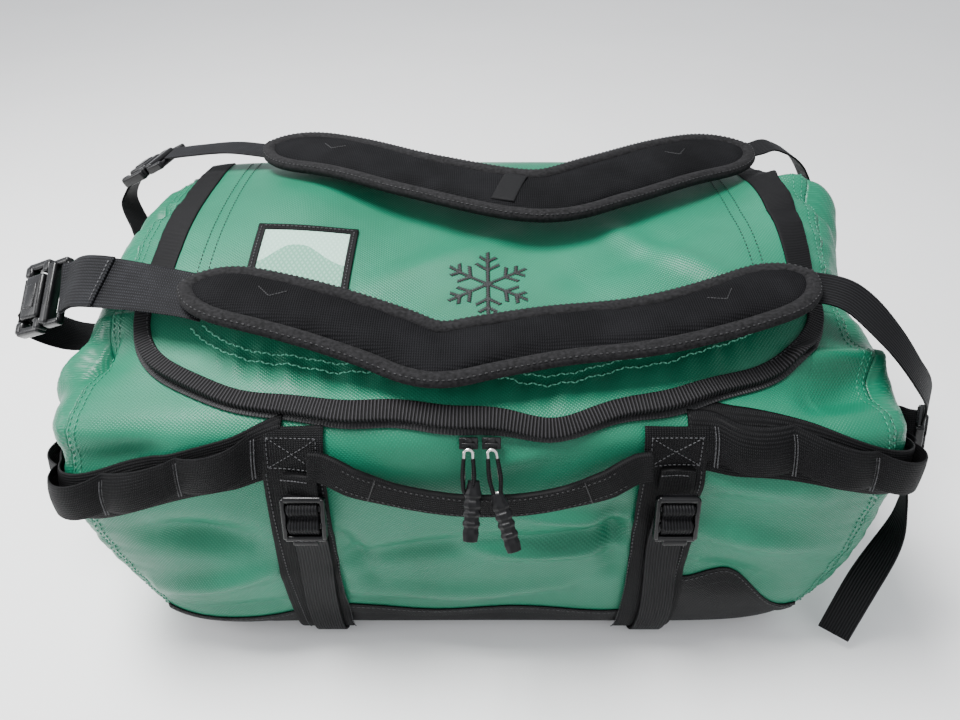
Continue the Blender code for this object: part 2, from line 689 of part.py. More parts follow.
def make_front_strap():
    level_ribbon("front_pad", FRONT_PAD, 26, FRONT_PAD_WIDTH, PAD, "pad_black", lean=-0.04)
    twisted_ribbon(
        "front_top_webbing",
        ((-0.3195, -0.042, 0.272), (-0.292, -0.052, 0.294), (-0.250, -0.071, 0.300), (-0.2095, -0.0815, 0.297)),
        (0.1, 1, 0), (0.1, 1, 0), 8, 0.038, 0.0026, "webbing_black")
    twisted_ribbon(
        "front_lower_webbing",
        ((0.2455, -0.067, 0.296), (0.264, -0.080, 0.293), (0.285, -0.108, 0.274), (0.307, -0.119, 0.250),
         (0.329, -0.113, 0.222), FRONT_LOCK_AT + (-0.001, 0.002, 0.0215)),
        (0, 1, 0), (0, 1, 0), 14, STRAP_WIDTH, STRAP, "webbing_black")
    make_buckle("front", FRONT_BUCKLE_AT, (0.80, -0.2, 0.55), (0.0, 1, 0.2))
    twisted_ribbon(
        "front_anchor_webbing",
        (FRONT_BUCKLE_AT + (-0.0262, 0.006, -0.0195), (-0.362, -0.026, 0.222), (-0.340, -0.022, 0.208),
         (-0.3175, -0.022, 0.207)),
        (0, 1, 0), (0, 1, 0), 8, 0.034, 0.0026, "webbing_black")
    make_ladder_lock("front_strap_lock", FRONT_LOCK_AT, (0, 1, 0), (0.05, 0, -1), (1, 0, 0.05))
    twisted_ribbon(
        "front_strap_tail",
        (FRONT_LOCK_AT + (0.001, -0.002, -0.0264), (0.335, -0.136, 0.128), (0.329, -0.150, 0.104),
         (0.312, -0.167, 0.062), (0.298, -0.183, 0.014)),
        (0.1, 1, 0), (0.75, 0.65, 0), 16, STRAP_WIDTH, STRAP, "webbing_black")


def make_rear_strap():
    level_ribbon("rear_pad", REAR_PAD, 22, REAR_PAD_WIDTH, PAD, "pad_black", lean=0.0)
    twisted_ribbon(
        "rear_top_webbing",
        (REAR_BUCKLE_AT + (0.0235, -0.0055, 0.012), (-0.256, 0.133, 0.303), (-0.225, 0.131, 0.307),
         (-0.1975, 0.130, 0.307)),
        (0.1, 1, 0), (0.1, 1, 0), 8, STRAP_WIDTH, 0.0022, "webbing_black")
    twisted_ribbon(
        "rear_lower_webbing",
        ((0.246, 0.127, 0.307), (0.266, 0.130, 0.309), (0.296, 0.128, 0.290), (0.321, 0.118, 0.240),
         REAR_LOCK_AT + (0, 0, 0.0215)),
        (0, 1, 0), (0, 1, 0), 14, STRAP_WIDTH, STRAP, "webbing_black")
    make_buckle("rear", REAR_BUCKLE_AT, (0.85, -0.2, 0.45), (0.2, 1, 0.0))
    twisted_ribbon(
        "rear_anchor_webbing",
        (REAR_BUCKLE_AT + (-0.0308, 0.0072, -0.0172), (-0.343, 0.142, 0.246), (-0.332, 0.126, 0.226),
         (-0.3175, 0.108, 0.216)),
        (0, 1, 0), (0, 1, 0), 8, STRAP_WIDTH, 0.0026, "webbing_black")
    make_ladder_lock("rear_strap_lock", REAR_LOCK_AT, (0, 1, 0), (0, 0, -1), (1, 0, 0))


def main():
    clear_scene()
    make_base()
    make_front_panel()
    make_rear_panel()
    make_surrounds()
    make_end_panel("end_panel_left", -1)
    make_end_panel("end_panel_right", 1)
    for piece in [*make_lid(), make_zip()]:
        set_origin(piece, hinge_axis())
    for side_name, side in (("left", -1), ("right", 1)):
        make_slider(f"zip_slider_{side_name}", side)
        for piece in make_pull(side_name, side):
            set_origin(piece, pull_pivot(side))
        make_daisy(f"daisy_chain_{side_name}", side)
        x = side * BAND_X
        make_compression(f"front_{side_name}", x, W_FRONT_BAND_TOP, W_FRONT_LOCK, W_FRONT_BAND_END, -1)
        make_compression(f"rear_{side_name}", x, W_REAR_BAND_TOP, W_REAR_LOCK, W_REAR_BAND_END, 1)
    make_handle("front_handle", -1, HANDLE_AXIS_Z, HANDLE_SAG)
    make_handle("rear_handle", 1, REAR_HANDLE_AXIS_Z, -HANDLE_SAG)
    make_front_strap()
    make_rear_strap()


main()
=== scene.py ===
"""Looks of the expedition duffel bag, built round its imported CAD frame.

Metres. +X is the bag's right end, +Y its rear, +Z up. The bag's skin is the CAD part's own: a place on it
is a distance x along the bag and a girth distance w round it, and lift is a height above it. The slack of
the fabric is added to the skin, so that everything lying on it sags and creases with it.
"""

import math

import bmesh
import bpy
import numpy as np
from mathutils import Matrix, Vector


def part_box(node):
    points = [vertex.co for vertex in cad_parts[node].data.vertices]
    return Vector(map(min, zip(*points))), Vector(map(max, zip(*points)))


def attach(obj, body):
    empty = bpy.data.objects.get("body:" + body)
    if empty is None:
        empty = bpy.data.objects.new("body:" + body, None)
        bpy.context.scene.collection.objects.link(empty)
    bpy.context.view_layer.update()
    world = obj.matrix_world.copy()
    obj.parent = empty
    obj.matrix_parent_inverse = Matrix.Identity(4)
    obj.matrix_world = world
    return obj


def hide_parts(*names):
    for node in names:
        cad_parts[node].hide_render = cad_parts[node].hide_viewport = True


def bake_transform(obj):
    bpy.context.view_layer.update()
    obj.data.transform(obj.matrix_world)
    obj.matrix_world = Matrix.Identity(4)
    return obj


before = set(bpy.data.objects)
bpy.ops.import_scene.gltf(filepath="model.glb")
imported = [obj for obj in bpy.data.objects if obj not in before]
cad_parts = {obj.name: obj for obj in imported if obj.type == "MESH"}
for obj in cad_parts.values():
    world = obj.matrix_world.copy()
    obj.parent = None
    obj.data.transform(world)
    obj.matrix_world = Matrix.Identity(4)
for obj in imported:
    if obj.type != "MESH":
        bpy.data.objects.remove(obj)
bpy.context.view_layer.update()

# The bag's skin, as in the CAD part.
SKIN_MIDDLE, SKIN_FLOOR, SKIN_TOP = 0.308, 0.272, 0.292
WIDEST_Z, HEIGHT, CENTRE_Z = 0.195, 0.288, 0.14
SQUARENESS = 10
SETTLE, SETTLE_SOFTNESS = 0.004, 0.003
SEAM_SHRINK = 0.94
GIRTH_POINTS = (  # (y, z) of the section, from the middle of the floor forwards and over the top
    (0, 0), (-0.10, 0), (-0.152, 0.002), (-0.176, 0.030), (-0.184, 0.100), (-0.182, 0.180),
    (-0.175, 0.228), (-0.160, 0.2475), (-0.122, 0.2555), (-0.070, 0.270), (0, 0.284), (0.085, 0.290),
    (0.145, 0.283), (0.174, 0.250),
    (0.185, 0.185), (0.186, 0.100), (0.176, 0.030), (0.152, 0.002), (0.10, 0),
)

# Sheets and webbing.
PANEL = 0.0024
FABRIC = 0.0016  # thickness that a fabric edge shows
BAND_WIDTH, BAND_LIFT, BAND = 0.044, 0.0026, 0.0016
STRAP_WIDTH, STRAP_LIFT, STRAP = 0.025, 0.0044, 0.0017
TOP_STRAP_WIDTH = 0.041
DAISY_WIDTH, DAISY_LIFT, DAISY = 0.038, 0.0024, 0.0018
ZIP_LIFT, ZIP = 0.0010, 0.0012

# The lid: its outline is a half superellipse across the bag, rounder at the right.
LID_HALF, LID_CORNER = 0.251, 0.105
LID_ROUNDNESS_LEFT, LID_ROUNDNESS_RIGHT = 2.55, 2.05
LID_LIFT = 0.0038
OPENING_INSET = 0.020
BINDING_WIDTH = 0.012
LID_TAPE_WIDTH = 0.020
STITCH_INSETS = (0.037, 0.045)

# Bands, handles and straps.
BAND_X = 0.131
BASE_RISE = 0.030
HANDLE_HALF, HANDLE_WIDTH, HANDLE = 0.102, 0.018, 0.0046
HANDLE_LIFT, HANDLE_BOW, HANDLE_SAG = 0.0090, 0.003, 0.025
HANDLE_AXIS_Z, REAR_HANDLE_AXIS_Z = 0.235, 0.212
FRONT_PAD_WIDTH, REAR_PAD_WIDTH, PAD = 0.056, 0.066, 0.0125
PAD_BINDING = 0.0062  # half-width of the tape sewn round a pad's edge
LOCK_SIZE = (0.031, 0.036, 0.005)
PULL_TILT = math.radians(38)
GRIP_SIZE = (0.011, 0.0085, 0.040)
SIDES = (("left", -1), ("right", 1))

# The view, and the point that the lights face.
SENSOR, LENS = 36, 27.04
CAMERA_AT, CAMERA_TILT = (0, -0.501, 0.582), math.radians(50)
LIT_POINT = (0, 0, 0.12)
FLOOR_REACH = 4.0


# --- Camera, floor and light ---


def new_object(name, data):
    obj = bpy.data.objects.new(name, data)
    bpy.context.scene.collection.objects.link(obj)
    return obj


def make_camera():
    """The camera fitted to the photograph."""
    data = bpy.data.cameras.new("camera")
    data.sensor_width = SENSOR
    data.lens = LENS
    camera = new_object("camera", data)
    camera.location = CAMERA_AT
    camera.rotation_euler = (CAMERA_TILT, 0, 0)
    bpy.context.scene.camera = camera


def make_light(name, place, size, power):
    data = bpy.data.lights.new(name, "AREA")
    data.energy = power
    data.size = size
    light = new_object(name, data)
    light.location = place
    light.rotation_euler = (Vector(LIT_POINT) - Vector(place)).to_track_quat("-Z", "Y").to_euler()


def make_stage():
    """A pale floor under a bright sky, lit from overhead and a little from the front and the left."""
    world = bpy.data.worlds.new("studio")
    bpy.context.scene.world = world
    world.use_nodes = True
    sky = world.node_tree.nodes["Background"]
    sky.inputs["Color"].default_value = (0.93, 0.95, 1.0, 1)
    sky.inputs["Strength"].default_value = 0.95
    make_light("overhead", (-0.45, 0.02, 1.6), 0.6, 58)
    make_light("front", (0.5, -1.7, 1.2), 1.0, 4)
    make_light("left", (-1.6, -0.2, 0.8), 0.7, 12)
    mesh = bpy.data.meshes.new("floor")
    corners = [(x * FLOOR_REACH, y * FLOOR_REACH, 0) for x, y in ((-1, -1), (1, -1), (1, 1), (-1, 1))]
    mesh.from_pydata(corners, [], [(0, 1, 2, 3)])
    floor = new_object("floor", mesh)
    look = Look("floor", 0.6)
    look.colour(look.noise(3.0, look.place), (0.90, 0.90, 0.89), (0.93, 0.93, 0.92))
    mesh.materials.append(look.material)


# --- Materials ---

# The third black, a little lighter, is a painted sheen: the lighter patches of the moulded plastic and the
# grip.
DARKEST, INK, PAINTED_SHEEN_BLACK = (0.0012, 0.0012, 0.0014), (0.0015, 0.0015, 0.0018), (0.0035, 0.0035, 0.004)


class Look:
    """A procedural material, built up from textures."""

    def __init__(self, name, roughness, **sockets):
        self.material = bpy.data.materials.new(name)
        self.material.use_nodes = True
        self.tree = self.material.node_tree
        self.shader = self.tree.nodes["Principled BSDF"]
        self.shader.inputs["Roughness"].default_value = roughness
        for socket, value in sockets.items():
            self.shader.inputs[socket.replace("_", " ")].default_value = value
        self.uv = self.node("ShaderNodeUVMap").outputs["UV"]
        self.place = self.node("ShaderNodeTexCoord").outputs["Object"]
        self.last_bump = None

    def node(self, kind, inputs=(), **settings):
        made = self.tree.nodes.new(kind)
        for key, value in settings.items():
            setattr(made, key, value)
        for socket, value in inputs:
            if isinstance(value, bpy.types.NodeSocket):
                self.tree.links.new(value, made.inputs[socket])
            else:
                made.inputs[socket].default_value = value
        return made

    def ribs(self, pitch, vector, turn=0.0, direction="X", distortion=0.0):
        """Ridges from 0 to 1, pitch metres apart, across the direction given once turned."""
        turned = self.node("ShaderNodeMapping", (("Vector", vector), ("Rotation", (0, 0, turn))))
        scale = math.pi / (10 * pitch)
        inputs = (("Vector", turned.outputs[0]), ("Scale", scale), ("Distortion", distortion))
        return self.node("ShaderNodeTexWave", inputs, bands_direction=direction).outputs["Fac"]

    def noise(self, scale, vector, detail=3.0):
        inputs = (("Vector", vector), ("Scale", scale), ("Detail", detail))
        return self.node("ShaderNodeTexNoise", inputs).outputs["Fac"]

    def combine(self, operation, a, b):
        return self.node("ShaderNodeMath", ((0, a), (1, b)), operation=operation).outputs[0]

    def crossed(self, operation, pitch, vector, one, other):
        """Two sets of ribs combined, turned by the two angles in degrees."""
        ribs = [self.ribs(pitch, vector, math.radians(turn)) for turn in (one, other)]
        return self.combine(operation, *ribs)

    def mix(self, a, share_a, b, share_b):
        """share_a of a and share_b of b."""
        parts = [self.combine("MULTIPLY", *pair) for pair in ((a, share_a), (b, share_b))]
        return self.combine("ADD", *parts)

    def colour(self, factor, dark, light, low=0.3, high=0.7):
        ramp = self.node("ShaderNodeValToRGB", (("Fac", factor),))
        ramp.color_ramp.elements[0].position = low
        ramp.color_ramp.elements[0].color = (*dark, 1)
        ramp.color_ramp.elements[1].position = high
        ramp.color_ramp.elements[1].color = (*light, 1)
        self.tree.links.new(ramp.outputs["Color"], self.shader.inputs["Base Color"])

    def roughness(self, factor, low, high):
        spread = self.node("ShaderNodeMapRange", (("Value", factor), ("To Min", low), ("To Max", high)))
        self.tree.links.new(spread.outputs[0], self.shader.inputs["Roughness"])

    def bump(self, height, depth):
        inputs = [("Height", height), ("Distance", depth)]
        if self.last_bump:
            inputs.append(("Normal", self.last_bump))
        self.last_bump = self.node("ShaderNodeBump", inputs).outputs["Normal"]
        self.tree.links.new(self.last_bump, self.shader.inputs["Normal"])


def coated_fabric(name, dark, light, gloss, pitch, relief, shine):
    """Laminated tarpaulin: a fine diagonal scrim under a smooth coat."""
    look = Look(name, 0.4, Specular_IOR_Level=shine)
    scrim = look.crossed("MULTIPLY", pitch, look.uv, 38, -52)
    look.colour(look.mix(scrim, 0.22, look.noise(9.0, look.place), 0.85), dark, light, 0.25, 0.75)
    look.roughness(look.noise(26.0, look.place), *gloss)
    look.bump(scrim, relief)
    look.bump(look.noise(240.0, look.place), 0.00012)
    look.bump(look.noise(38.0, look.place), 0.0006)
    return look.material


def webbing_look(name, dark, light, pitch):
    """Woven nylon: ribs across the strap, crossed by a finer lengthwise weave."""
    look = Look(name, 0.62, Specular_IOR_Level=0.12)
    along = look.ribs(pitch * 1.35, look.uv, math.radians(90))
    weave = look.combine("MULTIPLY", look.ribs(pitch, look.uv), along)
    # The raised crossings of the weave are painted lighter, as painted highlights; the noise gives a random
    # tone.
    look.colour(look.mix(weave, 0.55, look.noise(60.0, look.place), 0.45), dark, light, 0.25, 0.8)
    look.bump(weave, 0.0005)
    look.bump(look.noise(900.0, look.place), 0.0001)
    return look.material


def textured(name, roughness, pattern, dark, light, depth=0, ramp=(), gloss=(), grain=(), **sockets):
    """A material with one pattern in its colour and, if given, its relief and gloss, and a fine grain."""
    look = Look(name, roughness, **sockets)
    texture = pattern(look)
    look.colour(texture, dark, light, *ramp)
    if gloss:
        look.roughness(texture, *gloss)
    if depth:
        look.bump(texture, depth)
    if grain:
        scale, relief = grain
        look.bump(look.noise(scale, look.place), relief)
    return look.material


def ribbed_look(name, dark, light, pitch, depth, turn=0.0):
    """Bold ribs across the tape, or along it when turned."""
    return textured(name, 0.6, lambda look: look.ribs(pitch, look.uv, turn), dark, light, depth, (0.35, 0.85),
                    grain=(700.0, 0.0001), Specular_IOR_Level=0.12)


def plain_look(name, dark, light, roughness, grain):
    return textured(name, roughness, lambda look: look.noise(grain, look.place, 4.0), dark, light, 0.0003)


def thread_look(name, dark, light):
    """Twisted thread."""
    look = Look(name, 0.55)
    look.colour(look.noise(500.0, look.place), dark, light)
    look.bump(look.ribs(0.0007, look.place, math.radians(30)), 0.0001)
    return look.material


def mesh_look():
    """Spacer mesh on the pads: fine ribs across the bag with a soft nap."""
    look = Look("pad_mesh", 0.8, Specular_IOR_Level=0.06)
    ribs = look.ribs(0.0016, look.place, 0.0, "X", 0.2)
    nap = look.noise(30.0, look.place)
    look.colour(look.mix(ribs, 0.35, nap, 0.6), (0.0025, 0.0025, 0.0028), (0.0085, 0.0085, 0.0095))
    look.bump(look.combine("MULTIPLY", ribs, look.ribs(0.0022, look.place, 0.0, "Y")), 0.00045)
    return look.material


def film_look():
    """Clear soft film with a fine lattice and a darker, wavy patch where it touches the card."""
    look = Look("clear_film", 0.14, Coat_Weight=0.5, Coat_Roughness=0.08)
    lattice = look.crossed("MAXIMUM", 0.0034, look.uv, 32, -32)
    touching = look.combine("GREATER_THAN", look.noise(21.0, look.uv, 0.0), 0.50)
    look.colour(look.mix(lattice, 0.30, touching, 0.55), (0.40, 0.60, 0.50), (0.10, 0.28, 0.19), 0.10, 0.90)
    look.bump(lattice, 0.0002)
    look.bump(look.noise(30.0, look.place), 0.001)
    return look.material


LOOKS = {
    "shell": coated_fabric("shell_tarpaulin", (0.003, 0.100, 0.052), (0.010, 0.165, 0.092), (0.30, 0.44),
                           0.0019, 0.00022, 0.28),
    "lining": plain_look("shell_lining", (0.10, 0.16, 0.14), (0.15, 0.22, 0.19), 0.7, 300.0),
    "base": coated_fabric("base_ballistic", INK, (0.006, 0.006, 0.0065), (0.48, 0.66), 0.0017, 0.0003, 0.15),
    "webbing": webbing_look("webbing", DARKEST, (0.0085, 0.0085, 0.0095), 0.0013),
    "strap": ribbed_look("strap_webbing", DARKEST, (0.0080, 0.0080, 0.0092), 0.0021, 0.0004,
                         math.radians(90)),
    "top_webbing": webbing_look("top_webbing", (0.003, 0.003, 0.0036), (0.026, 0.027, 0.031), 0.0018),
    "binding": ribbed_look("grosgrain", (0.0015, 0.0015, 0.0015), (0.026, 0.025, 0.027), 0.00235, 0.0007),
    "tape": ribbed_look("flat_tape", INK, (0.005, 0.005, 0.0055), 0.0016, 0.0002),
    "pad": mesh_look(),
    "pad_binding": textured(  # brushed, a little worn and fluffy
        "pad_binding", 0.9, lambda look: look.noise(420.0, look.place, 5.0), (0.002, 0.002, 0.0022),
        (0.013, 0.0125, 0.0135), 0.0006, Specular_IOR_Level=0.2),
    # Moulded plastic: black, with random patches painted lighter as a painted sheen, and rougher there.
    "plastic": textured(
        "moulded_plastic", 0.22, lambda look: look.noise(45.0, look.place, 6.0), INK, PAINTED_SHEEN_BLACK,
        gloss=(0.16, 0.38), grain=(300.0, 0.00008), Specular_IOR_Level=0.30),
    "grip": textured(  # softer and rubbery, with a crossed knurl drawn only in its colour, its ribs lighter as a painted sheen
        "grip_plastic", 0.38, lambda look: look.crossed("MAXIMUM", 0.0042, look.place, 45, -45), INK, PAINTED_SHEEN_BLACK,
        grain=(260.0, 0.0001), Specular_IOR_Level=0.22),
    "steel": textured(
        "polished_wire", 0.18, lambda look: look.noise(150.0, look.place), (0.52, 0.51, 0.49),
        (0.74, 0.73, 0.71), gloss=(0.12, 0.3), Metallic=1.0),
    "film": film_look(),
    "card": plain_look("name_card", (0.36, 0.55, 0.46), (0.46, 0.64, 0.55), 0.6, 80.0),
    "zip": textured(  # the coil's fine teeth
        "zip_tape", 0.6, lambda look: look.ribs(0.0022, look.uv), (0.002, 0.002, 0.0025),
        (0.012, 0.012, 0.013), 0.0006),
    "foam": plain_look("closed_cell_foam", (0.07, 0.07, 0.08), (0.13, 0.13, 0.14), 0.9, 700.0),
    "thread": thread_look("black_thread", (0.003, 0.003, 0.0035), (0.010, 0.010, 0.011)),
    "grey_thread": thread_look("worn_thread", (0.010, 0.010, 0.011), (0.05, 0.05, 0.054)),
    "green_thread": thread_look("green_thread", (0.08, 0.40, 0.26), (0.16, 0.52, 0.36)),
    "seam_thread": thread_look("seam_thread", (0.015, 0.16, 0.09), (0.03, 0.24, 0.15)),
}


# --- The skin ---


def spline(a, b, c, d, ts):
    """Points of a smooth curve from b to c, on its way from a to d."""
    bend, twist = 2 * a - 5 * b + 4 * c - d, 3 * b - a - 3 * c + d
    return 0.5 * (2 * b + (c - a) * ts + bend * ts**2 + twist * ts**3)


def run_along(line):
    """The distance from a line's start to each of its points."""
    return np.concatenate([[0], np.cumsum(np.linalg.norm(np.diff(line, axis=0), axis=1))])


def sample(line, run, wanted):
    """The points of a line at the wanted distances."""
    return np.column_stack([np.interp(wanted, run, line[:, i]) for i in range(line.shape[1])])


def section_table(points, per_span=40):
    """(girth distance, y, z) along a closed smooth curve through the section's points."""
    corners = np.array(points, float)
    ts = np.linspace(0, 1, per_span, endpoint=False)[:, None]
    neighbours = (np.roll(corners, shift, 0) for shift in (1, 0, -1, -2))
    spans = [spline(*stretch, ts) for stretch in zip(*neighbours)]
    line = np.vstack([*spans, corners[:1]])
    line[:, 1] = np.maximum(line[:, 1], 0)
    return np.column_stack([run_along(line), line])


SECTION = section_table(GIRTH_POINTS)
GIRTH = SECTION[-1, 0]
FRONT_WALL = SECTION[(SECTION[:, 1] < -0.12) & (SECTION[:, 2] > 0.01)]
REAR_WALL = SECTION[(SECTION[:, 1] > 0.12) & (SECTION[:, 2] > 0.01)][::-1]


def girth_near(y, z):
    """The girth distance of the section's point nearest to (y, z)."""
    return SECTION[np.argmin(np.hypot(SECTION[:, 1] - y, SECTION[:, 2] - z)), 0]


def section_point(w):
    w = np.mod(w, GIRTH)
    return np.interp(w, SECTION[:, 0], SECTION[:, 1]), np.interp(w, SECTION[:, 0], SECTION[:, 2])


def reach(z):
    """The bag's half-length at height z."""
    low = SKIN_MIDDLE - (SKIN_MIDDLE - SKIN_FLOOR) * ((WIDEST_Z - z) / WIDEST_Z) ** 2
    high = SKIN_MIDDLE - (SKIN_MIDDLE - SKIN_TOP) * ((z - WIDEST_Z) / (HEIGHT - WIDEST_Z)) ** 2
    return np.where(z < WIDEST_Z, low, high)


def settled(z):
    """The height z after the filled bag has settled on the floor."""
    def softened(q):
        return 0.5 * (q + np.hypot(q, SETTLE_SOFTNESS))

    return np.maximum(0.0, softened(z - SETTLE) - softened(-SETTLE))


def at_shrink(w, k, side):
    """The point of an end where the section has shrunk to k."""
    y, z = section_point(w)
    raw_z = CENTRE_Z + k * (z - CENTRE_Z)
    x = side * reach(raw_z) * np.maximum(0, 1 - k**SQUARENESS) ** (1 / SQUARENESS)
    return np.stack(np.broadcast_arrays(x, k * y, settled(raw_z)), -1)


def at_length(x, w):
    """The point of the smooth skin at x along the bag and w round it."""
    x, w = np.broadcast_arrays(np.asarray(x, float), np.asarray(w, float))
    y, z = section_point(w)
    k = np.ones_like(x)
    for _ in range(5):
        share = np.minimum(0.999, np.abs(x) / reach(CENTRE_Z + k * (z - CENTRE_Z)))
        k = (1 - share**SQUARENESS) ** (1 / SQUARENESS)
    return np.stack([x, k * y, settled(CENTRE_Z + k * (z - CENTRE_Z))], -1)


def unit(v):
    return v / np.maximum(np.linalg.norm(v, axis=-1, keepdims=True), 1e-12)


def normal_at(x, w, step=0.003):
    along = at_length(x + step, w) - at_length(x - step, w)
    round_ = at_length(x, w + step) - at_length(x, w - step)
    return unit(np.cross(along, round_))


def smoothstep(v, low, high):
    share = np.clip((v - low) / (high - low), 0, 1)
    return share * share * (3 - 2 * share)


# Ridges above the skin and creases below it, in millimetres, as (start, end, height, width).
FOLDS = (
    ((-303, -80, 252), (-300, -105, 215), 6, 10),  # round the dent at the left shoulder
    ((-300, -105, 215), (-252, -112, 232), 6, 10),
    ((-285, -95, 250), (-272, -100, 246), -10, 20),
    ((-300, -150, 200), (-225, -178, 224), -6, 12),
    ((222, -112, 252), (284, -100, 246), 8, 8.5),  # the bright fold at the right shoulder
    ((284, -100, 246), (292, -118, 198), 6, 10),
    ((232, -140, 245), (280, -122, 238), -8, 14),
    ((296, -30, 255), (290, -10, 262), -10, 26),
    ((268, 60, 285), (300, 20, 240), -6, 10),
    ((250, 85, 288), (292, 70, 262), 5, 8),
    ((-262, 60, 287), (-302, 30, 240), -5, 10),
    ((22, -188, 176), (104, -186, 164), 4.5, 7),  # the slack between the front bands
    ((30, -188, 150), (100, -186, 146), -5, 8),
    ((-10, -188, 140), (105, -187, 130), 4, 7),
    ((-100, -186, 120), (20, -188, 150), -4, 10),
    ((-95, -184, 75), (60, -184, 90), 4, 12),
    ((12, -182, 222), (50, -181, 232), 5, 8),
    ((-100, -182, 150), (-85, -183, 100), -4, 9),
    ((95, -183, 175), (100, -183, 110), -5, 10),
    ((-250, -178, 80), (-160, -184, 110), 5, 10),  # the ends' front walls
    ((-235, -182, 150), (-170, -184, 145), -6, 14),
    ((-255, -165, 50), (-165, -180, 60), -4, 10),
    ((160, -184, 150), (262, -170, 128), 5, 12),
    ((165, -183, 105), (215, -182, 88), -6, 16),
    ((150, -183, 200), (235, -172, 190), 4, 12),
    ((-90, 184, 215), (80, 185, 190), -5, 12),  # the rear wall
    ((-95, 186, 120), (95, 186, 150), 5, 10),
    ((165, 184, 160), (262, 170, 110), 6, 12),
    ((-260, 170, 170), (-165, 184, 120), -6, 13),
    ((-300, -90, 110), (-306, 60, 170), 7, 14),  # the end panels
    ((-305, 20, 80), (-300, 110, 130), -7, 16),
    ((306, -80, 150), (302, 70, 90), 7, 14),
    ((304, -40, 200), (303, 90, 190), -8, 18),
    ((-80, -50, 276), (20, 5, 284), 2.5, 16),  # the lid's top
    ((80, -40, 276), (180, 20, 284), -3, 18),
    ((110, 10, 284), (200, -60, 270), 3, 12),
    ((262, 20, 272), (285, 110, 262), 14, 50),  # the shoulders fill out
    ((-268, -20, 268), (-285, 70, 262), 6, 45),
)
FOLD_DEPTH = 1.8
HINGE_Y, HINGE_Z = 0.153, 0.279  # the fabric is taut along the lid's hinge
WAVES = (  # (wave vector in radians per metre, phase, height) of the fabric's broad slack
    ((21, 9, 16), 0.4, 0.0022), ((-13, 19, 11), 2.1, 0.0022), ((34, -12, -23), 1.2, 0.0013),
    ((-41, 27, 31), 3.3, 0.0009), ((8, -33, 26), 5.0, 0.0014), ((63, 44, -38), 0.9, 0.0004),
)


def slack(p):
    """How far the slack fabric stands off the smooth skin at the point p."""
    total = np.zeros(p.shape[:-1])
    for vector, phase, height in WAVES:
        total += height * np.sin(p @ np.array(vector, float) + phase)
    for start, end, height, width in FOLDS:
        a, b = np.array(start) / 1000, np.array(end) / 1000
        share = np.clip((p - a) @ (b - a) / np.dot(b - a, b - a), 0, 1)
        away = np.linalg.norm(p - a - share[..., None] * (b - a), axis=-1)
        ridge = FOLD_DEPTH * height / 1000 * (0.55 + 0.45 * np.sin(math.pi * share))
        total += ridge * np.exp(-((away / width * 1000) ** 2))
    walls = smoothstep(np.abs(p[..., 1]), 0.13, 0.17)
    band = np.exp(-(((np.abs(p[..., 0]) - BAND_X) / 0.026) ** 2))
    total -= 0.0035 * band * walls
    from_hinge = np.hypot(p[..., 1] - HINGE_Y, p[..., 2] - HINGE_Z)
    return total * smoothstep(p[..., 2], 0.004, 0.055) * smoothstep(from_hinge, 0.006, 0.045)


def seam_pull(w, away):
    """The small puckers beside the seam of an end panel, away metres from it."""
    beat = np.sin(w * 2 * math.pi / 0.031 + 1.7 * np.sin(w * 23)) + 0.6 * np.sin(w * 2 * math.pi / 0.013)
    return 0.0007 * beat * np.exp(-away / 0.016) - 0.0018 * np.exp(-((away / 0.0026) ** 2))


def above_floor(points):
    points[..., 2] = np.maximum(points[..., 2], 0)
    return points


def lay(x, w, lift=0.0):
    """The point of the slack fabric at x along the bag and w round it, with a height above it."""
    base = at_length(x, w)
    away = np.maximum(0.0, seam_x(w) - np.abs(x))
    rise = lift + slack(base) + seam_pull(w, away)
    return above_floor(base + normal_at(x, w) * rise[..., None])


def lay_end(w, k, side, lift=0.0):
    """The point of an end panel at w round it and shrunk to k."""
    step = 0.004
    outward = at_shrink(w, k + step, side) - at_shrink(w, np.maximum(k - step, 0), side)
    round_ = at_shrink(w + step, k, side) - at_shrink(w - step, k, side)
    direction = side * unit(np.cross(round_, outward))
    base = at_shrink(w, k, side)
    away = (SEAM_SHRINK - k) * 0.16
    rise = lift + slack(base) + seam_pull(w, np.maximum(away, 0))
    flat = np.array([float(side), 0, 0])
    direction = np.where(np.broadcast_to(k, base.shape[:-1])[..., None] < 0.02, flat, direction)
    return above_floor(base + direction * rise[..., None])


GIRDLE_LENGTH, GIRDLE_DEPTH = float(reach(0.18)), 0.182


def girdle(z, angle, lift, side=1):
    """A point of the bag's outline at height z, in the direction angle from its middle, seen from above."""
    front = np.interp(z, FRONT_WALL[:, 2], np.abs(FRONT_WALL[:, 1]))
    rear = np.interp(z, REAR_WALL[:, 2], np.abs(REAR_WALL[:, 1]))
    half_depth = np.where(angle < 0, front, rear)
    half_length = reach(z)

    def outline(a):
        c, s = np.abs(np.cos(a)) / GIRDLE_LENGTH, np.abs(np.sin(a)) / GIRDLE_DEPTH
        r = (c**SQUARENESS + s**SQUARENESS) ** (-1 / SQUARENESS)
        x = side * r * np.cos(a) * half_length / GIRDLE_LENGTH
        y = r * np.sin(a) * half_depth / GIRDLE_DEPTH
        return np.stack(np.broadcast_arrays(x, y, settled(z)), -1)

    step = 0.01
    along = outline(angle + step) - outline(angle - step)
    outward = side * unit(np.stack([along[..., 1], -along[..., 0], 0 * along[..., 0]], -1))
    base = outline(angle)
    return base + outward * (lift + slack(base))[..., None]


def seam_x(w):
    """How far along the bag the end panel's seam is, at w round it."""
    _, z = section_point(w)
    raw_z = CENTRE_Z + SEAM_SHRINK * (z - CENTRE_Z)
    return reach(raw_z) * (1 - SEAM_SHRINK**SQUARENESS) ** (1 / SQUARENESS)


W_FRONT_BASE = girth_near(-0.176, BASE_RISE)
W_FRONT_EDGE = girth_near(-0.166, 0.243)
W_HINGE = girth_near(0.152, 0.280)
W_REAR_BASE = girth_near(0.176, BASE_RISE)
W_TAPE = W_FRONT_EDGE + LID_CORNER + 0.004


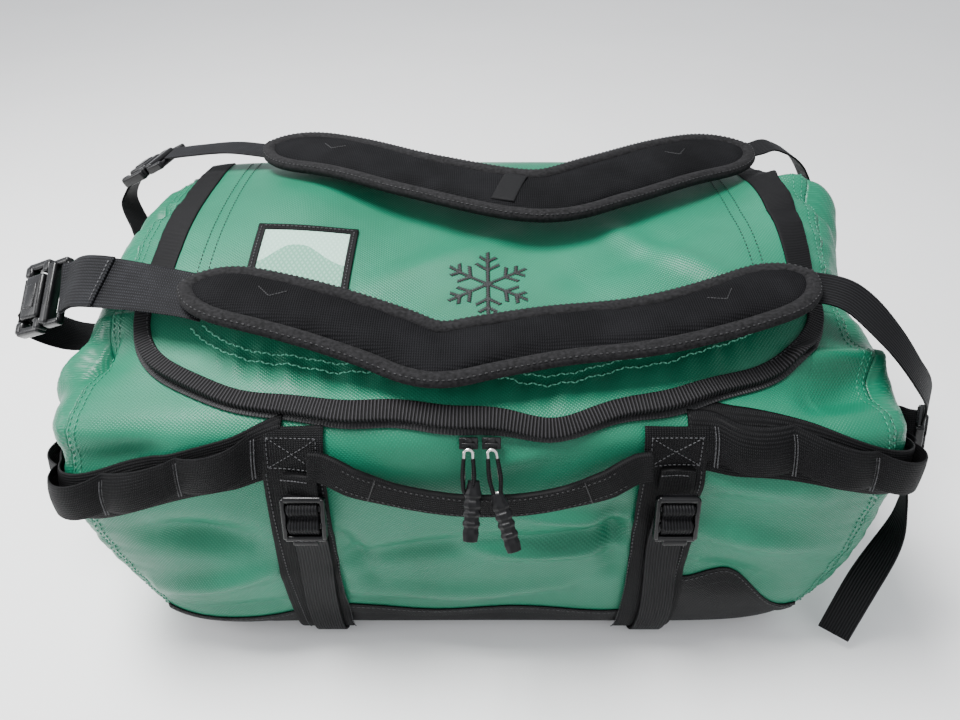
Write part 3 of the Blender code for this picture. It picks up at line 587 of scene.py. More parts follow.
def front_base(x):
    """The girth distance of the base panel's front edge, which lifts in a wave near the right end."""
    fold = 0.046 * smoothstep(x, 0.118, 0.155) * (1 - smoothstep(x, 0.190, 0.252))
    return W_FRONT_BASE + 0.018 + fold - 0.010 * smoothstep(-x, 0.10, 0.25) + 0.0015 * np.sin(x * 41)


def rear_base(x):
    """The girth distance of the base panel's rear edge."""
    return W_REAR_BASE + 0.002 * np.sin(x * 37)


def lid_edge(x, inset=0.0):
    """The girth distance of a line parallel to the lid's outline."""
    roundness = np.where(np.asarray(x) < 0, LID_ROUNDNESS_LEFT, LID_ROUNDNESS_RIGHT)
    share = np.clip(np.abs(x) / (LID_HALF - inset), 0, 1)
    turn = 1 - (1 - share**roundness) ** (1 / roundness)
    dip = -0.007 * np.exp(-(((x - 0.045) / 0.035) ** 2)) + 0.0012 * np.sin(x * 85)
    lift = 0.0035 - 0.001 * np.clip(x / LID_HALF, -1, 1)
    return W_FRONT_EDGE + lift + inset + (LID_CORNER - inset - lift) * turn + dip * (1 - turn)


# --- Meshes ---


def mesh_object(name, points, faces, uvs=None, outward_from=None):
    """A smooth mesh; an open one faces away from the point outward_from."""
    mesh = bpy.data.meshes.new(name)
    mesh.from_pydata(points.tolist(), [], faces)
    mesh.polygons.foreach_set("use_smooth", np.ones(len(mesh.polygons), bool))
    if uvs is not None:
        loops = np.empty(len(mesh.loops), int)
        mesh.loops.foreach_get("vertex_index", loops)
        layer = mesh.uv_layers.new(name="UVMap")
        layer.data.foreach_set("uv", uvs[loops].astype(np.float32).ravel())
    bm = bmesh.new()
    bm.from_mesh(mesh)
    bmesh.ops.remove_doubles(bm, verts=bm.verts, dist=1e-7)
    if outward_from is None:
        bmesh.ops.recalc_face_normals(bm, faces=bm.faces)
        if bm.calc_volume(signed=True) < 0:
            bmesh.ops.reverse_faces(bm, faces=bm.faces)
    else:
        bm.normal_update()
        middle = Vector(outward_from)
        if sum(f.normal.dot(f.calc_center_median() - middle) for f in bm.faces) < 0:
            bmesh.ops.reverse_faces(bm, faces=bm.faces)
    bm.to_mesh(mesh)
    bm.free()
    return new_object(name, mesh)


def grid_faces(rows, columns, closed=False):
    faces = []
    for i in range(rows - 1):
        for j in range(columns if closed else columns - 1):
            a, b = i * columns + j, i * columns + (j + 1) % columns
            faces.append((a, b, b + columns, a + columns))
    return faces


def shell(name, points, uvs, inner=(0, 0, 0.14)):
    """One layer of fabric over a grid of points, with its thickness and lining inside."""
    obj = mesh_object(name, points.reshape(-1, 3), grid_faces(*points.shape[:2]), uvs.reshape(-1, 2), inner)
    thick = obj.modifiers.new("fabric", "SOLIDIFY")
    thick.thickness = FABRIC
    thick.offset = -1
    thick.material_offset = 1
    return obj


FLAT_PROFILE = np.array([
    (-1, 0), (-0.985, 0.6), (-0.94, 0.95), (-0.80, 1), (-0.4, 1), (0, 1), (0.4, 1), (0.80, 1), (0.94, 0.95),
    (0.985, 0.6), (1, 0), (0.985, -0.6), (0.94, -0.95), (0.80, -1), (0, -1), (-0.80, -1), (-0.94, -0.95),
    (-0.985, -0.6),
])
ROUND_ANGLES = np.linspace(0, 2 * math.pi, 14, endpoint=False)
ROUND_PROFILE = np.column_stack([np.cos(ROUND_ANGLES), np.sin(ROUND_ANGLES)])


def swept(name, grid, across, loop=False):
    """A closed body through a grid of stations by profile points, each at a place across its width."""
    stations, count = grid.shape[:2]
    run = run_along(grid.mean(axis=1))
    uvs = np.stack(np.broadcast_arrays(run[:, None], across), -1).reshape(-1, 2)
    faces = grid_faces(stations, count, closed=True)
    last = (stations - 1) * count
    if loop:
        faces += [(last + j, last + (j + 1) % count, (j + 1) % count, j) for j in range(count)]
    else:
        faces += [tuple(range(count)), tuple(range(last, last + count))]
    return mesh_object(name, grid.reshape(-1, 3), faces, uvs)


def strap(name, centres, across, normals, width, thickness, profile=FLAT_PROFILE, loop=False):
    """A strap along centres, with its width along across and its thickness along normals."""
    a, b = profile[:, 0], profile[:, 1]
    half = np.broadcast_to(np.asarray(width) / 2, len(centres))
    deep = np.broadcast_to(np.asarray(thickness) / 2, len(centres))
    grid = (centres[:, None] + across[:, None] * (a[None] * half[:, None])[..., None]
            + normals[:, None] * (b[None] * deep[:, None])[..., None])
    return swept(name, grid, a[None] * half[:, None], loop)


def skin_band(name, x, w, half_x, half_w, lift, thickness, profile=FLAT_PROFILE):
    """A strip lying on the slack skin, along places (x, w) with its edges half_x, half_w to each side."""
    a, b = profile[None, :, 0], profile[None, :, 1]
    x, w = np.asarray(x, float)[:, None], np.asarray(w, float)[:, None]
    half_x, half_w, lift = (np.broadcast_to(v, len(x))[:, None] for v in (half_x, half_w, lift))
    grid = lay(x + a * half_x, w + a * half_w, lift + thickness / 2 * (1 + b))
    return swept(name, grid, a * np.hypot(half_x, half_w))


def smooth_line(points, count):
    """count points evenly along a smooth curve through the given ones."""
    line = np.array(points, float)
    padded = np.vstack([2 * line[0] - line[1], line, 2 * line[-1] - line[-2]])
    ts = np.linspace(0, 1, 24, endpoint=False)[:, None]
    fine = [spline(a, b, c, d, ts) for a, b, c, d in zip(padded, padded[1:], padded[2:], padded[3:])]
    return resample(np.vstack([*fine, line[-1:]]), count)


def resample(line, count):
    run = run_along(line)
    return sample(line, run, np.linspace(0, run[-1], count))


def twisted(name, points, start_across, end_across, count, width, thickness):
    """A strap along a route, whose width turns from one direction to another on the way."""
    line = smooth_line(points, count)
    tangents = unit(np.gradient(line, axis=0))
    share = smoothstep(np.linspace(0, 1, count), 0, 1)[:, None]
    wanted = (1 - share) * np.asarray(start_across, float) + share * np.asarray(end_across, float)
    across = unit(wanted - tangents * (tangents * wanted).sum(-1, keepdims=True))
    return strap(name, line, across, np.cross(tangents, across), width, thickness), line, across


def rod(name, points, radius, count=40, loop=False):
    """A round cord or wire along a route."""
    if loop:
        line = np.asarray(points, float)
        tangents = unit(np.roll(line, -1, 0) - np.roll(line, 1, 0))
    else:
        line = smooth_line(points, count)
        tangents = unit(np.gradient(line, axis=0))
    across = [unit(np.cross(tangents[0], np.array([0.31, 0.87, 0.38])))]
    for t in tangents[1:]:
        across.append(unit(across[-1] - t * across[-1].dot(t)))
    across = np.array(across)
    return strap(name, line, across, np.cross(tangents, across), 2 * radius, 2 * radius, ROUND_PROFILE, loop)


def add_block(bm, centre, size, axes, bevel, segments=3):
    """Adds a block with rounded edges, its sides along the axes."""
    made = bmesh.ops.create_cube(bm, size=1)
    verts = made["verts"]
    for vert in verts:
        vert.co = Vector([c * s for c, s in zip(vert.co, size)])
    edges = list({e for v in verts for e in v.link_edges})
    rounded = bmesh.ops.bevel(bm, geom=edges, offset=bevel, segments=segments, affect="EDGES", profile=0.6)
    touched = set(rounded["verts"]) | {v for v in verts if v.is_valid}
    turn = [Vector(unit(np.asarray(a, float))) for a in axes]
    for vert in touched:
        x, y, z = vert.co
        vert.co = Vector(centre) + turn[0] * x + turn[1] * y + turn[2] * z


def placed(centre, axes, spot):
    """The point at spot in a part's own axes."""
    return centre + sum(axis * distance for axis, distance in zip(axes, spot))


def moulding(name, centre, axes, blocks):
    """An object from rounded blocks, each (spot, size, bevel) or with its number of bevel segments."""
    bm = bmesh.new()
    for spot, size, *rounding in blocks:
        add_block(bm, placed(centre, axes, spot), size, axes, *rounding)
    bmesh.ops.recalc_face_normals(bm, faces=bm.faces)
    for face in bm.faces:
        face.smooth = True
    mesh = bpy.data.meshes.new(name)
    bm.to_mesh(mesh)
    bm.free()
    return new_object(name, mesh)


def join(name, objects):
    """One object from several, at rest and without modifiers."""
    bm = bmesh.new()
    for obj in objects:
        bm.from_mesh(obj.data)
        bpy.data.objects.remove(obj)
    mesh = bpy.data.meshes.new(name)
    bm.to_mesh(mesh)
    bm.free()
    return new_object(name, mesh)


def dress(obj, look, slot, body, *nodes):
    """Gives a piece its material, the body it rides on and the CAD nodes it stands for."""
    obj.data.materials.clear()
    obj.data.materials.append(LOOKS[look])
    if look in ("shell", "base"):
        obj.data.materials.append(LOOKS["lining"])
    if body:
        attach(obj, body)
    if nodes:
        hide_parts(*nodes)
    return obj


# --- Stitches ---


def stitch_mesh(name, rows, length, radius):
    """Short rounded threads; rows are (centres, directions, normals)."""
    rings = ((-0.5, 0.25), (-0.3, 1.0), (0.3, 1.0), (0.5, 0.25))
    angles = np.linspace(0, 2 * math.pi, 6, endpoint=False)
    centres, directions, normals = (np.vstack([row[i] for row in rows]) for i in range(3))
    sides = np.cross(directions, normals)
    thread = [*grid_faces(4, 6, closed=True), tuple(range(6)), tuple(range(18, 24))]
    points, faces = [], []
    for c, d, n, s in zip(centres, directions, normals, sides):
        start = len(points)
        for along, thick in rings:
            for a in angles:
                points.append(c + d * along * length + (n * math.sin(a) + s * math.cos(a)) * radius * thick)
        faces += [tuple(start + corner for corner in face) for face in thread]
    return mesh_object(name, np.array(points), faces)


def skin_row(x, w, pitch, lift, zigzag=0.0, surface=None):
    """Stitches along places (x, w) on the skin or a surface over it, leaning in turn by the angle zigzag."""
    def height(a, b):
        return lift + (surface(a, b) if surface else 0)

    fine = resample(np.column_stack([x, w]), 400)
    line = lay(fine[:, 0], fine[:, 1], height(fine[:, 0], fine[:, 1]))
    run = run_along(line)
    wanted = np.arange(pitch / 2, run[-1], pitch)
    xs, ws = sample(fine, run, wanted).T
    centres = lay(xs, ws, height(xs, ws))
    directions = unit(sample(line, run, wanted + 0.002) - sample(line, run, wanted - 0.002))
    normals = normal_at(xs, ws)
    if zigzag:
        lean = np.where(np.arange(len(wanted)) % 2 == 0, zigzag, -zigzag)[:, None]
        directions = unit(directions * np.cos(lean) + np.cross(normals, directions) * np.sin(lean))
    return centres, directions, normals


def line_row(line, normals, pitch):
    """Stitches along a line in space."""
    run = run_along(line)
    wanted = np.arange(pitch / 2, run[-1], pitch)
    along = sample(line, run, wanted + 0.001) - sample(line, run, wanted - 0.001)
    return sample(line, run, wanted), unit(along), unit(sample(normals, run, wanted))


def box_cross(x_low, x_high, w_low, w_high):
    """The lines of a sewn box with a cross in it."""
    corners = np.array([(x_low, w_low), (x_high, w_low), (x_high, w_high), (x_low, w_high)])
    return [corners[[start, end]] for start, end in ((0, 1), (1, 2), (2, 3), (3, 0), (0, 2), (1, 3))]


def sew_on(name, rows, length, radius, thread, slot, body):
    """One piece from rows of stitches."""
    return dress(stitch_mesh(name, rows, length, radius), thread, slot, body)


def fabric(name, x, w, lift, look, slot, body, *nodes):
    """One layer of fabric over the places (x, w)."""
    return dress(shell(name, lay(x, w, lift), np.stack([x, w], -1)), look, slot, body, *nodes)


def bunched(count):
    """Numbers from -1 to 1, closer together at both ends."""
    return np.sin(np.linspace(-math.pi / 2, math.pi / 2, count))


# --- The shell ---

OPENING_HALF = LID_HALF - OPENING_INSET
W_SIDE = W_FRONT_EDGE + LID_CORNER


def opening_edge(x):
    return lid_edge(x, OPENING_INSET)


def make_front_panel():
    """The front wall, round the opening up to the level of the side tapes."""
    inner = OPENING_HALF * bunched(241)
    share = np.linspace(0, 1, 110)[:, None]
    w_inner = front_base(inner) + share * (opening_edge(inner) - front_base(inner))
    outer = np.linspace(1, 0, 26)[:-1]

    def flank(side, w):
        """The part from the end's seam to the opening's side, where w is the opening's own."""
        x = side * (OPENING_HALF + outer * (seam_x(w) - OPENING_HALF))
        w = front_base(x) + share * (W_SIDE - front_base(x))
        return side * (OPENING_HALF + outer * (seam_x(w) - OPENING_HALF)), w

    left = flank(-1, w_inner[:, :1])
    right = [grid[:, ::-1] for grid in flank(1, w_inner[:, -1:])]
    x = np.hstack([left[0], np.broadcast_to(inner, w_inner.shape), right[0]])
    w = np.hstack([left[1], w_inner, right[1]])
    fabric("front_panel_fabric", x, w, 0, "shell", "shell_green", "bag", "front_panel")


def wall(name, w_low, w_high, rows, columns, look, slot, node):
    """A panel from seam to seam, between two edges given as functions of x."""
    share = np.linspace(0, 1, rows)[:, None]
    spread = bunched(columns)[None]
    low_x = high_x = spread * seam_x(W_FRONT_BASE)
    for _ in range(5):
        low_x, high_x = spread * seam_x(w_low(low_x)), spread * seam_x(w_high(high_x))
    w = w_low(low_x) + share * (w_high(high_x) - w_low(low_x))
    fabric(name, spread * seam_x(w), w, 0, look, slot, "bag", node)


def make_walls():
    wall("rear_panel_fabric", lambda x: W_HINGE + 0.001 + 0 * x, rear_base, 90, 200, "shell", "shell_green",
         "rear_panel")
    wall("base_fabric", lambda x: rear_base(x) - GIRTH, front_base, 120, 160, "base", "base_black",
         "base_panel")
    w = np.linspace(W_SIDE, W_HINGE - 0.001, 120)[:, None]
    share = np.linspace(0, 1, 34)[None]
    for name, side in SIDES:
        x = side * (OPENING_HALF + share * (seam_x(w) - OPENING_HALF))
        fabric(f"surround_fabric_{name}", x, w + 0 * x, 0, "shell", "shell_green", "bag", f"surround_{name}")


def make_end(name, side):
    around = np.linspace(0, GIRTH, 300)[None]
    k = np.concatenate([np.linspace(SEAM_SHRINK, 0.80, 26), np.linspace(0.785, 0.0, 44)])[:, None]
    points = lay_end(around + 0 * k, k + 0 * around, side)
    panel = shell(f"end_fabric_{name}", points, points[..., 1:] * (side, 1))
    dress(panel, "shell", "shell_green", "bag", f"end_panel_{name}")


def make_shell_trim():
    """The hem of the base with its stitching, and the topstitching beside the end seams."""
    x = np.linspace(-0.258, 0.258, 220)
    rows = []
    for name, edge, up in (("base_hem", front_base(x), 1), ("base_hem_rear", rear_base(x), -1)):
        dress(skin_band(name, x, edge - up * 0.001, 0, 0.006, 0.0002, 0.0014), "base", "base_black", "bag")
        rows.append(skin_row(x, edge + up * 0.002, 0.0042, 0.0018))
    sew_on("base_stitches", rows, 0.0028, 0.00045, "grey_thread", "base_black", "bag")
    rows = []
    for _, side in SIDES:
        for gap in (0.004, 0.009):
            for w in (np.linspace(front_base(0.25 * side), W_HINGE - 0.004, 200),
                      np.linspace(W_HINGE + 0.004, W_REAR_BASE, 160)):
                rows.append(skin_row(side * (seam_x(w) - gap), w, 0.0045, 0.0004))
    sew_on("seam_stitches", rows, 0.0030, 0.00040, "seam_thread", "shell_green", "bag")


# --- The lid ---


def lid_path(inset, count):
    """(x, w) along a line parallel to the lid's outline, from the left rear round to the right rear."""
    half = LID_HALF - inset
    x = -half * np.cos(np.linspace(0, math.pi, 500))
    x = np.sign(x) * half * (1 - (1 - np.abs(x) / half) ** 1.6)
    front = np.column_stack([x, lid_edge(x, inset)])
    side = np.linspace(W_TAPE + 0.004, front[0, 1], 12)[:-1]
    left, right = (np.column_stack([np.full(11, end), ws]) for end, ws in ((x[0], side), (x[-1], side[::-1])))
    return resample(np.vstack([left, front, right]), count)


def across_path(path):
    """The unit directions, in (x, w), to the left of a path, which is inwards on the lid."""
    along = unit(np.gradient(path, axis=0))
    return np.column_stack([-along[:, 1], along[:, 0]])


def lid_lift(x, w):
    """The lid's height above the skin: it ripples at its edge and puckers along its stitches."""
    away = w - lid_edge(x, STITCH_INSETS[0])
    strength = smoothstep(-np.abs(x), -0.21, -0.15)
    beat = np.sin(x * 2 * math.pi / 0.019 + 2.0 * np.sin(x * 31)) + 0.7 * np.sin(x * 2 * math.pi / 0.047)
    pucker = 0.0011 * beat * np.exp(-((away / 0.014) ** 2)) * strength
    groove = -0.0010 * np.exp(-(((away - 0.004) / 0.006) ** 2)) * strength
    edge = w - lid_edge(x)
    curl = 0.0018 * np.exp(-((edge / 0.012) ** 2)) * np.sin(x * 2 * math.pi / 0.115 + 0.7)
    return LID_LIFT + pucker + groove + curl


def on_lid(x, w, lift=0.0):
    """The height above the skin of a point that is lift above the lid."""
    return lid_lift(x, w) + PANEL + lift


def make_lid():
    """The lid's fabric and the folded seam at its hinge."""
    inner = (LID_HALF - 0.0003) * bunched(301)
    w = lid_edge(inner) + np.linspace(0, 1, 170)[:, None] * (W_HINGE - 0.001 - lid_edge(inner))
    x = np.broadcast_to(inner, w.shape)
    fabric("lid_fabric", x, w, on_lid(x, w), "shell", "shell_green", "lid", "lid_panel")
    x = np.linspace(-LID_HALF, LID_HALF, 120)
    fold = skin_band("lid_hinge_seam", x, np.full(120, W_HINGE - 0.006), 0, 0.004,
                     LID_LIFT + PANEL - 0.002, 0.0022, ROUND_PROFILE)
    dress(fold, "tape", "binding_black", "lid")


def path_band(name, path, width, lift, thickness):
    """A strip lying along a path of places (x, w)."""
    return skin_band(name, *path.T, *(across_path(path).T * width / 2), lift, thickness)


def make_lid_trim():
    """The lid's binding, its side tapes and its three kinds of stitching."""
    path = lid_path(BINDING_WIDTH / 2 - 0.0008, 700)
    rim = path_band("lid_edge_binding", path, BINDING_WIDTH, lid_lift(*path.T) - 0.0012, 0.0060)
    dress(rim, "binding", "binding_black", "lid", "lid_binding")
    edge_path = lid_path(BINDING_WIDTH - 0.0022, 700)
    edge = []
    for name, side in SIDES:
        w = np.linspace(W_TAPE, W_HINGE - 0.008, 120)
        x = np.full(120, side * (LID_HALF - LID_TAPE_WIDTH / 2 + 0.001))
        tape = skin_band(f"lid_side_tape_{name}", x, w, LID_TAPE_WIDTH / 2, 0, on_lid(x, w) - 0.0008, 0.0022)
        dress(tape, "tape", "binding_black", "lid", f"lid_tape_{name}")
        part = edge_path[edge_path[:, 0] * side > 0.20]
        edge.append(skin_row(*part.T, 0.0042, LID_LIFT + 0.0052))
    front, sides = [], []
    w = np.linspace(W_SIDE - 0.006, W_HINGE - 0.012, 80)
    for inset in STITCH_INSETS:
        path = lid_path(inset, 600)
        path = path[np.abs(path[:, 0]) < LID_HALF - inset - 0.006]
        front.append(skin_row(*path.T, 0.0034, 0.0004, math.radians(24), on_lid))
        for _, side in SIDES:
            sides.append(skin_row(np.full(80, side * (LID_HALF - inset)), w, 0.0042, 0.0004, 0.0, on_lid))
    sew_on("lid_front_stitches", front, 0.0034, 0.00060, "green_thread", "shell_green", "lid")
    sew_on("lid_side_stitches", sides, 0.0022, 0.00042, "thread", "shell_green", "lid")
    sew_on("lid_edge_stitches", edge, 0.0022, 0.0004, "grey_thread", "binding_black", "lid")


def make_zip_tapes():
    for half_zip, inset, width, body in (("body", 0.002, 0.012, "bag"), ("lid", 0.013, 0.009, "lid")):
        tape = path_band(f"zip_coil_{half_zip}", lid_path(inset, 500), width, ZIP_LIFT, ZIP)
        dress(tape, "zip", "zip_black", body, f"zip_tape_{half_zip}")


def make_window():
    """The name card under its film and stitched frame."""
    x_low, x_high = -0.177, -0.098
    w_low, w_high = girth_near(-0.066, 0.271), girth_near(0.014, 0.286)
    edge = 0.0060
    overlap = edge - 0.002
    for name, lift, thickness, look, slot, node in (
            ("name_card", 0.0004, 0.0003, "card", "card_pale", "id_card"),
            ("window_pane", 0.0011, 0.0004, "film", "window_film", "id_window_film")):
        w, x = np.meshgrid(np.linspace(w_low + overlap, w_high - overlap, 40),
                           np.linspace(x_low + overlap, x_high - overlap, 40), indexing="ij")
        bulge = 0.0012 * np.sin((x - x_low) / (x_high - x_low) * math.pi)
        bulge *= np.sin((w - w_low) / (w_high - w_low) * math.pi)
        pane = fabric(name, x, w, on_lid(x, w, lift) + bulge, look, slot, "lid", node)
        pane.modifiers["fabric"].thickness = thickness
    strips, rows = [], []
    corners = np.array([(x_low, w_low), (x_high, w_low), (x_high, w_high), (x_low, w_high)])
    for i, (start, end) in enumerate(zip(corners, np.roll(corners, -1, 0))):
        path = np.linspace(start, end, 50)
        path = path + across_path(path) * edge / 2
        strips.append(path_band(f"frame_side_{i}", path, edge, on_lid(*path.T, 0.0006), 0.0018))
        rows.append(skin_row(*path[2:-2].T, 0.0034, LID_LIFT + PANEL + 0.0028))
    dress(join("window_frame", strips), "tape", "binding_black", "lid", "id_window_frame")
    sew_on("window_stitches", rows, 0.0022, 0.00045, "grey_thread", "binding_black", "lid")


def make_motif():
    """A plain embroidered snowflake, in place of lettering."""
    centre = np.array([0.006, girth_near(-0.046, 0.277)])
    arm = 0.034
    rows = []

    def embroider(start, length, angle):
        out = np.array([math.cos(angle), math.sin(angle)])
        line = np.linspace(start, start + length * out, 40)
        rows.append(skin_row(*line.T, 0.0010, 0.0004, math.radians(66), on_lid))
        return out

    for angle in np.radians(np.arange(30, 390, 60)):
        out = embroider(centre, arm, angle)
        for share, barb in ((0.45, 0.011), (0.72, 0.008)):
            for turn in (-1, 1):
                embroider(centre + out * arm * share, barb, angle + turn * math.radians(55))
    sew_on("lid_snowflake", rows, 0.0038, 0.00065, "thread", "shell_green", "lid")


# --- Bands, locks and daisy chains ---

# Each band's top, lock and bottom, as girth distances.
FRONT_BAND = W_FRONT_EDGE, girth_near(-0.179, 0.186), girth_near(-0.170, 0.016)
REAR_BAND = girth_near(0.176, 0.246), girth_near(0.185, 0.138), girth_near(0.170, 0.016)
LOCK_TILT = 0.26  # the front locks stand off the wall, pulled by their straps
DAISY_PITCH, DAISY_START = 0.052, 0.018


def make_lock(name, centre, across, along, normal, body, node):
    """A ladder-lock: a rounded frame with three bars, a curved lip and the strap woven through it."""
    width, height, thick = LOCK_SIZE
    axes = across, along, normal = [unit(np.asarray(v, float)) for v in (across, along, normal)]
    bar, half = 0.0042, height / 2
    blocks = [((side * (width - bar) / 2, 0, 0.0004), (bar * 0.8, height - 0.004, thick * 1.25), 0.0016)
              for side in (-1, 1)]
    blocks += [
        ((0, half - 0.0030, 0.0006), (width - 0.003, 0.0050, thick * 1.1), 0.0022),
        ((0, 0.0078, 0.0004), (width - 0.002, bar, thick * 0.7), 0.0014),
        ((0, -0.0058, 0.0004), (width - 0.002, bar, thick * 0.7), 0.0014),
        ((0, -half + 0.0022, 0.0002), (width - 0.003, 0.0046, thick * 0.95), 0.0016),
        ((0, -half - 0.0006, 0.0016), (width * 0.55, 0.0040, thick * 0.6), 0.0012),
    ]
    dress(moulding(f"{name}_frame", centre, axes, blocks), "plastic", "plastic_black", body, node)
    route = ((half - 0.001, -0.0024), (half - 0.006, 0.0004), (0.0095, 0.0040), (0.0060, 0.0042),
             (0.0022, 0.0008), (-0.0002, 0.0004), (-0.0028, 0.0030), (-0.0062, 0.0044), (-0.0095, 0.0026),
             (-half + 0.003, -0.0024))
    line = smooth_line([placed(centre, axes, (0, *spot)) for spot in route], 46)
    sides = np.broadcast_to(across, line.shape)
    facing = unit(np.cross(unit(np.gradient(line, axis=0)), sides))
    woven = strap(f"{name}_woven_strap", line, sides, facing, STRAP_WIDTH - 0.0035, STRAP)
    dress(woven, "strap", "webbing_black", body)


def make_compression(wall_name, side_name, side):
    """A vertical band with its tab, ladder-lock, pulled-down strap and stitches."""
    name = f"{wall_name}_{side_name}"
    front = wall_name == "front"
    w_top, w_lock, w_base = FRONT_BAND if front else REAR_BAND
    down = -1 if front else 1
    x = side * BAND_X + (0.006 if front and side < 0 else 0)
    x_lock = x + (0.005 if side < 0 else 0.003) * front

    def lie(kind, x, w, width, lift, thickness, look, node):
        piece = skin_band(f"{kind}_webbing_{name}", x, w, width / 2, 0, lift, thickness)
        dress(piece, look, "webbing_black", "bag", f"{node}_{name}")

    w = np.linspace(w_top - down * 0.004 * front, w_base, 130)
    drift = 0.004 * side * front * smoothstep(np.abs(w - w_top), 0.02, 0.20)
    lie("band", x + drift, w, BAND_WIDTH, BAND_LIFT, BAND, "webbing", "band")
    half = LOCK_SIZE[1] / 2
    w = w_lock - down * np.linspace(half + 0.014, half - 0.005, 40)
    lie("tab", np.full(40, x_lock), w, STRAP_WIDTH - 0.002, STRAP_LIFT, 0.0040, "webbing", "tab")
    w = np.linspace(w_lock + down * (half - 0.006), w_base + down * 0.012, 110)
    drift = side * 0.006 * smoothstep(np.abs(w - w_lock), 0.03, 0.14)
    tight = STRAP_LIFT + 0.0012 + 0.004 * np.exp(-((w - w[0]) / 0.02) ** 2)
    lie("strap", x_lock + drift, w, STRAP_WIDTH, tight, STRAP, "strap", "compression_strap")

    place = np.array(x_lock), np.array(w_lock)
    normal = normal_at(*place)
    across = np.array([1.0, 0, 0])
    up = -down * np.cross(normal, across)
    hinge = at_length(*place) + normal * (STRAP_LIFT + LOCK_SIZE[2] / 2 + 0.0004) + up * half
    tilt = LOCK_TILT * front
    up, normal = (unit(up * math.cos(tilt) - normal * math.sin(tilt)),
                  unit(normal * math.cos(tilt) + up * math.sin(tilt)))
    make_lock(f"lock_{name}", hinge - up * half, across, up, normal, f"lock_{name}", f"ladder_lock_{name}")

    on_band = BAND_LIFT + BAND + 0.0002
    box = box_cross(x - 0.017, x + 0.017, *sorted((w_top + down * 0.004, w_top + down * 0.026)))
    rows = [skin_row(*line.T, 0.0032, on_band) for line in box]
    rows.append(skin_row(np.array([x - 0.009, x + 0.009]), np.full(2, w_lock - down * (half + 0.010)), 0.0024,
                         STRAP_LIFT + 0.0042))
    w = np.linspace(w_top + down * 0.03, w_base, 60)
    for edge in (-1, 1):
        rows.append(skin_row(np.full(60, x + edge * (BAND_WIDTH / 2 - 0.003)), w, 0.0036, on_band))
    sew_on(f"band_stitches_{name}", rows, 0.0022, 0.00042, "grey_thread", "webbing_black", "bag")


def daisy_line(side):
    """(angle, height, distance) along the webbing round one end, evenly spaced."""
    front_angle = math.atan2(-0.164, BAND_X - (0.010 if side < 0 else 0.004))
    angles = np.linspace(front_angle, -front_angle, 400)
    run = run_along(girdle(0.18, angles, 0.0))
    distance = np.linspace(0, run[-1], 260)
    share = distance / run[-1]
    bend, front_rise = (1.1, 0.064) if side < 0 else (2.6, 0.067)
    rise = front_rise * np.maximum(0, 1 - (share / 0.34) ** bend) + 0.040 * np.maximum(0, (share - 0.7) / 0.3)
    return np.interp(distance, run, angles), 0.166 + rise, distance


def make_daisy(name, side):
    """Webbing round an end, with a narrower strip on it that is tacked down into loops."""
    angles, z, distance = daisy_line(side)
    nearest = np.minimum(distance, distance[-1] - distance)
    wavy = DAISY_LIFT + 0.001 * np.sin(distance * 2 * math.pi / 0.11)
    lifted = 0.0004 + wavy * smoothstep(nearest, 0.01, 0.035)
    beat = np.abs(np.sin((distance - DAISY_START) * math.pi / DAISY_PITCH))
    beat *= smoothstep(nearest, 0.015, 0.030)
    looped = lifted + DAISY + 0.0004 + 0.0085 * beat**0.8
    a, b = FLAT_PROFILE[None, :, 0], FLAT_PROFILE[None, :, 1]
    for label, width, raised, lift, thick, nodes in (
            ("base", DAISY_WIDTH, 0.0, lifted, DAISY, [f"daisy_chain_{name}"]),
            ("loops", DAISY_WIDTH * 0.72, 0.004, looped, 0.0015, [])):
        height = z[:, None] + a * width / 2 + raised
        grid = girdle(height, angles[:, None] + 0 * a, lift[:, None] + thick / 2 * (1 + b), side)
        piece = swept(f"daisy_{label}_{name}", grid, a * width / 2 + 0 * z[:, None])
        dress(piece, "webbing", "webbing_black", "bag", *nodes)
    rows = []
    for start in np.arange(DAISY_START, distance[-1] - 0.01, DAISY_PITCH):
        for at in (start - 0.0010, start + 0.0010):
            angle, middle, base = (np.interp(at, distance, values) for values in (angles, z, lifted))
            level = middle + np.linspace(-0.34, 0.36, 30) * DAISY_WIDTH
            angle = np.full(30, angle)
            outward = unit(girdle(level, angle, 0.02, side) - girdle(level, angle, 0.0, side))
            rows.append(line_row(girdle(level, angle, base + DAISY + 0.0026, side), outward, 0.0012))
    sew_on(f"daisy_bartacks_{name}", rows, 0.0016, 0.00055, "grey_thread", "webbing_black", "bag")


# --- Handles ---


def averaged(values, reach_out):
    """Each value's average with its neighbours, reach_out to each side."""
    count = 2 * reach_out + 1
    return np.convolve(np.pad(values, reach_out, "edge"), np.ones(count) / count, "valid")


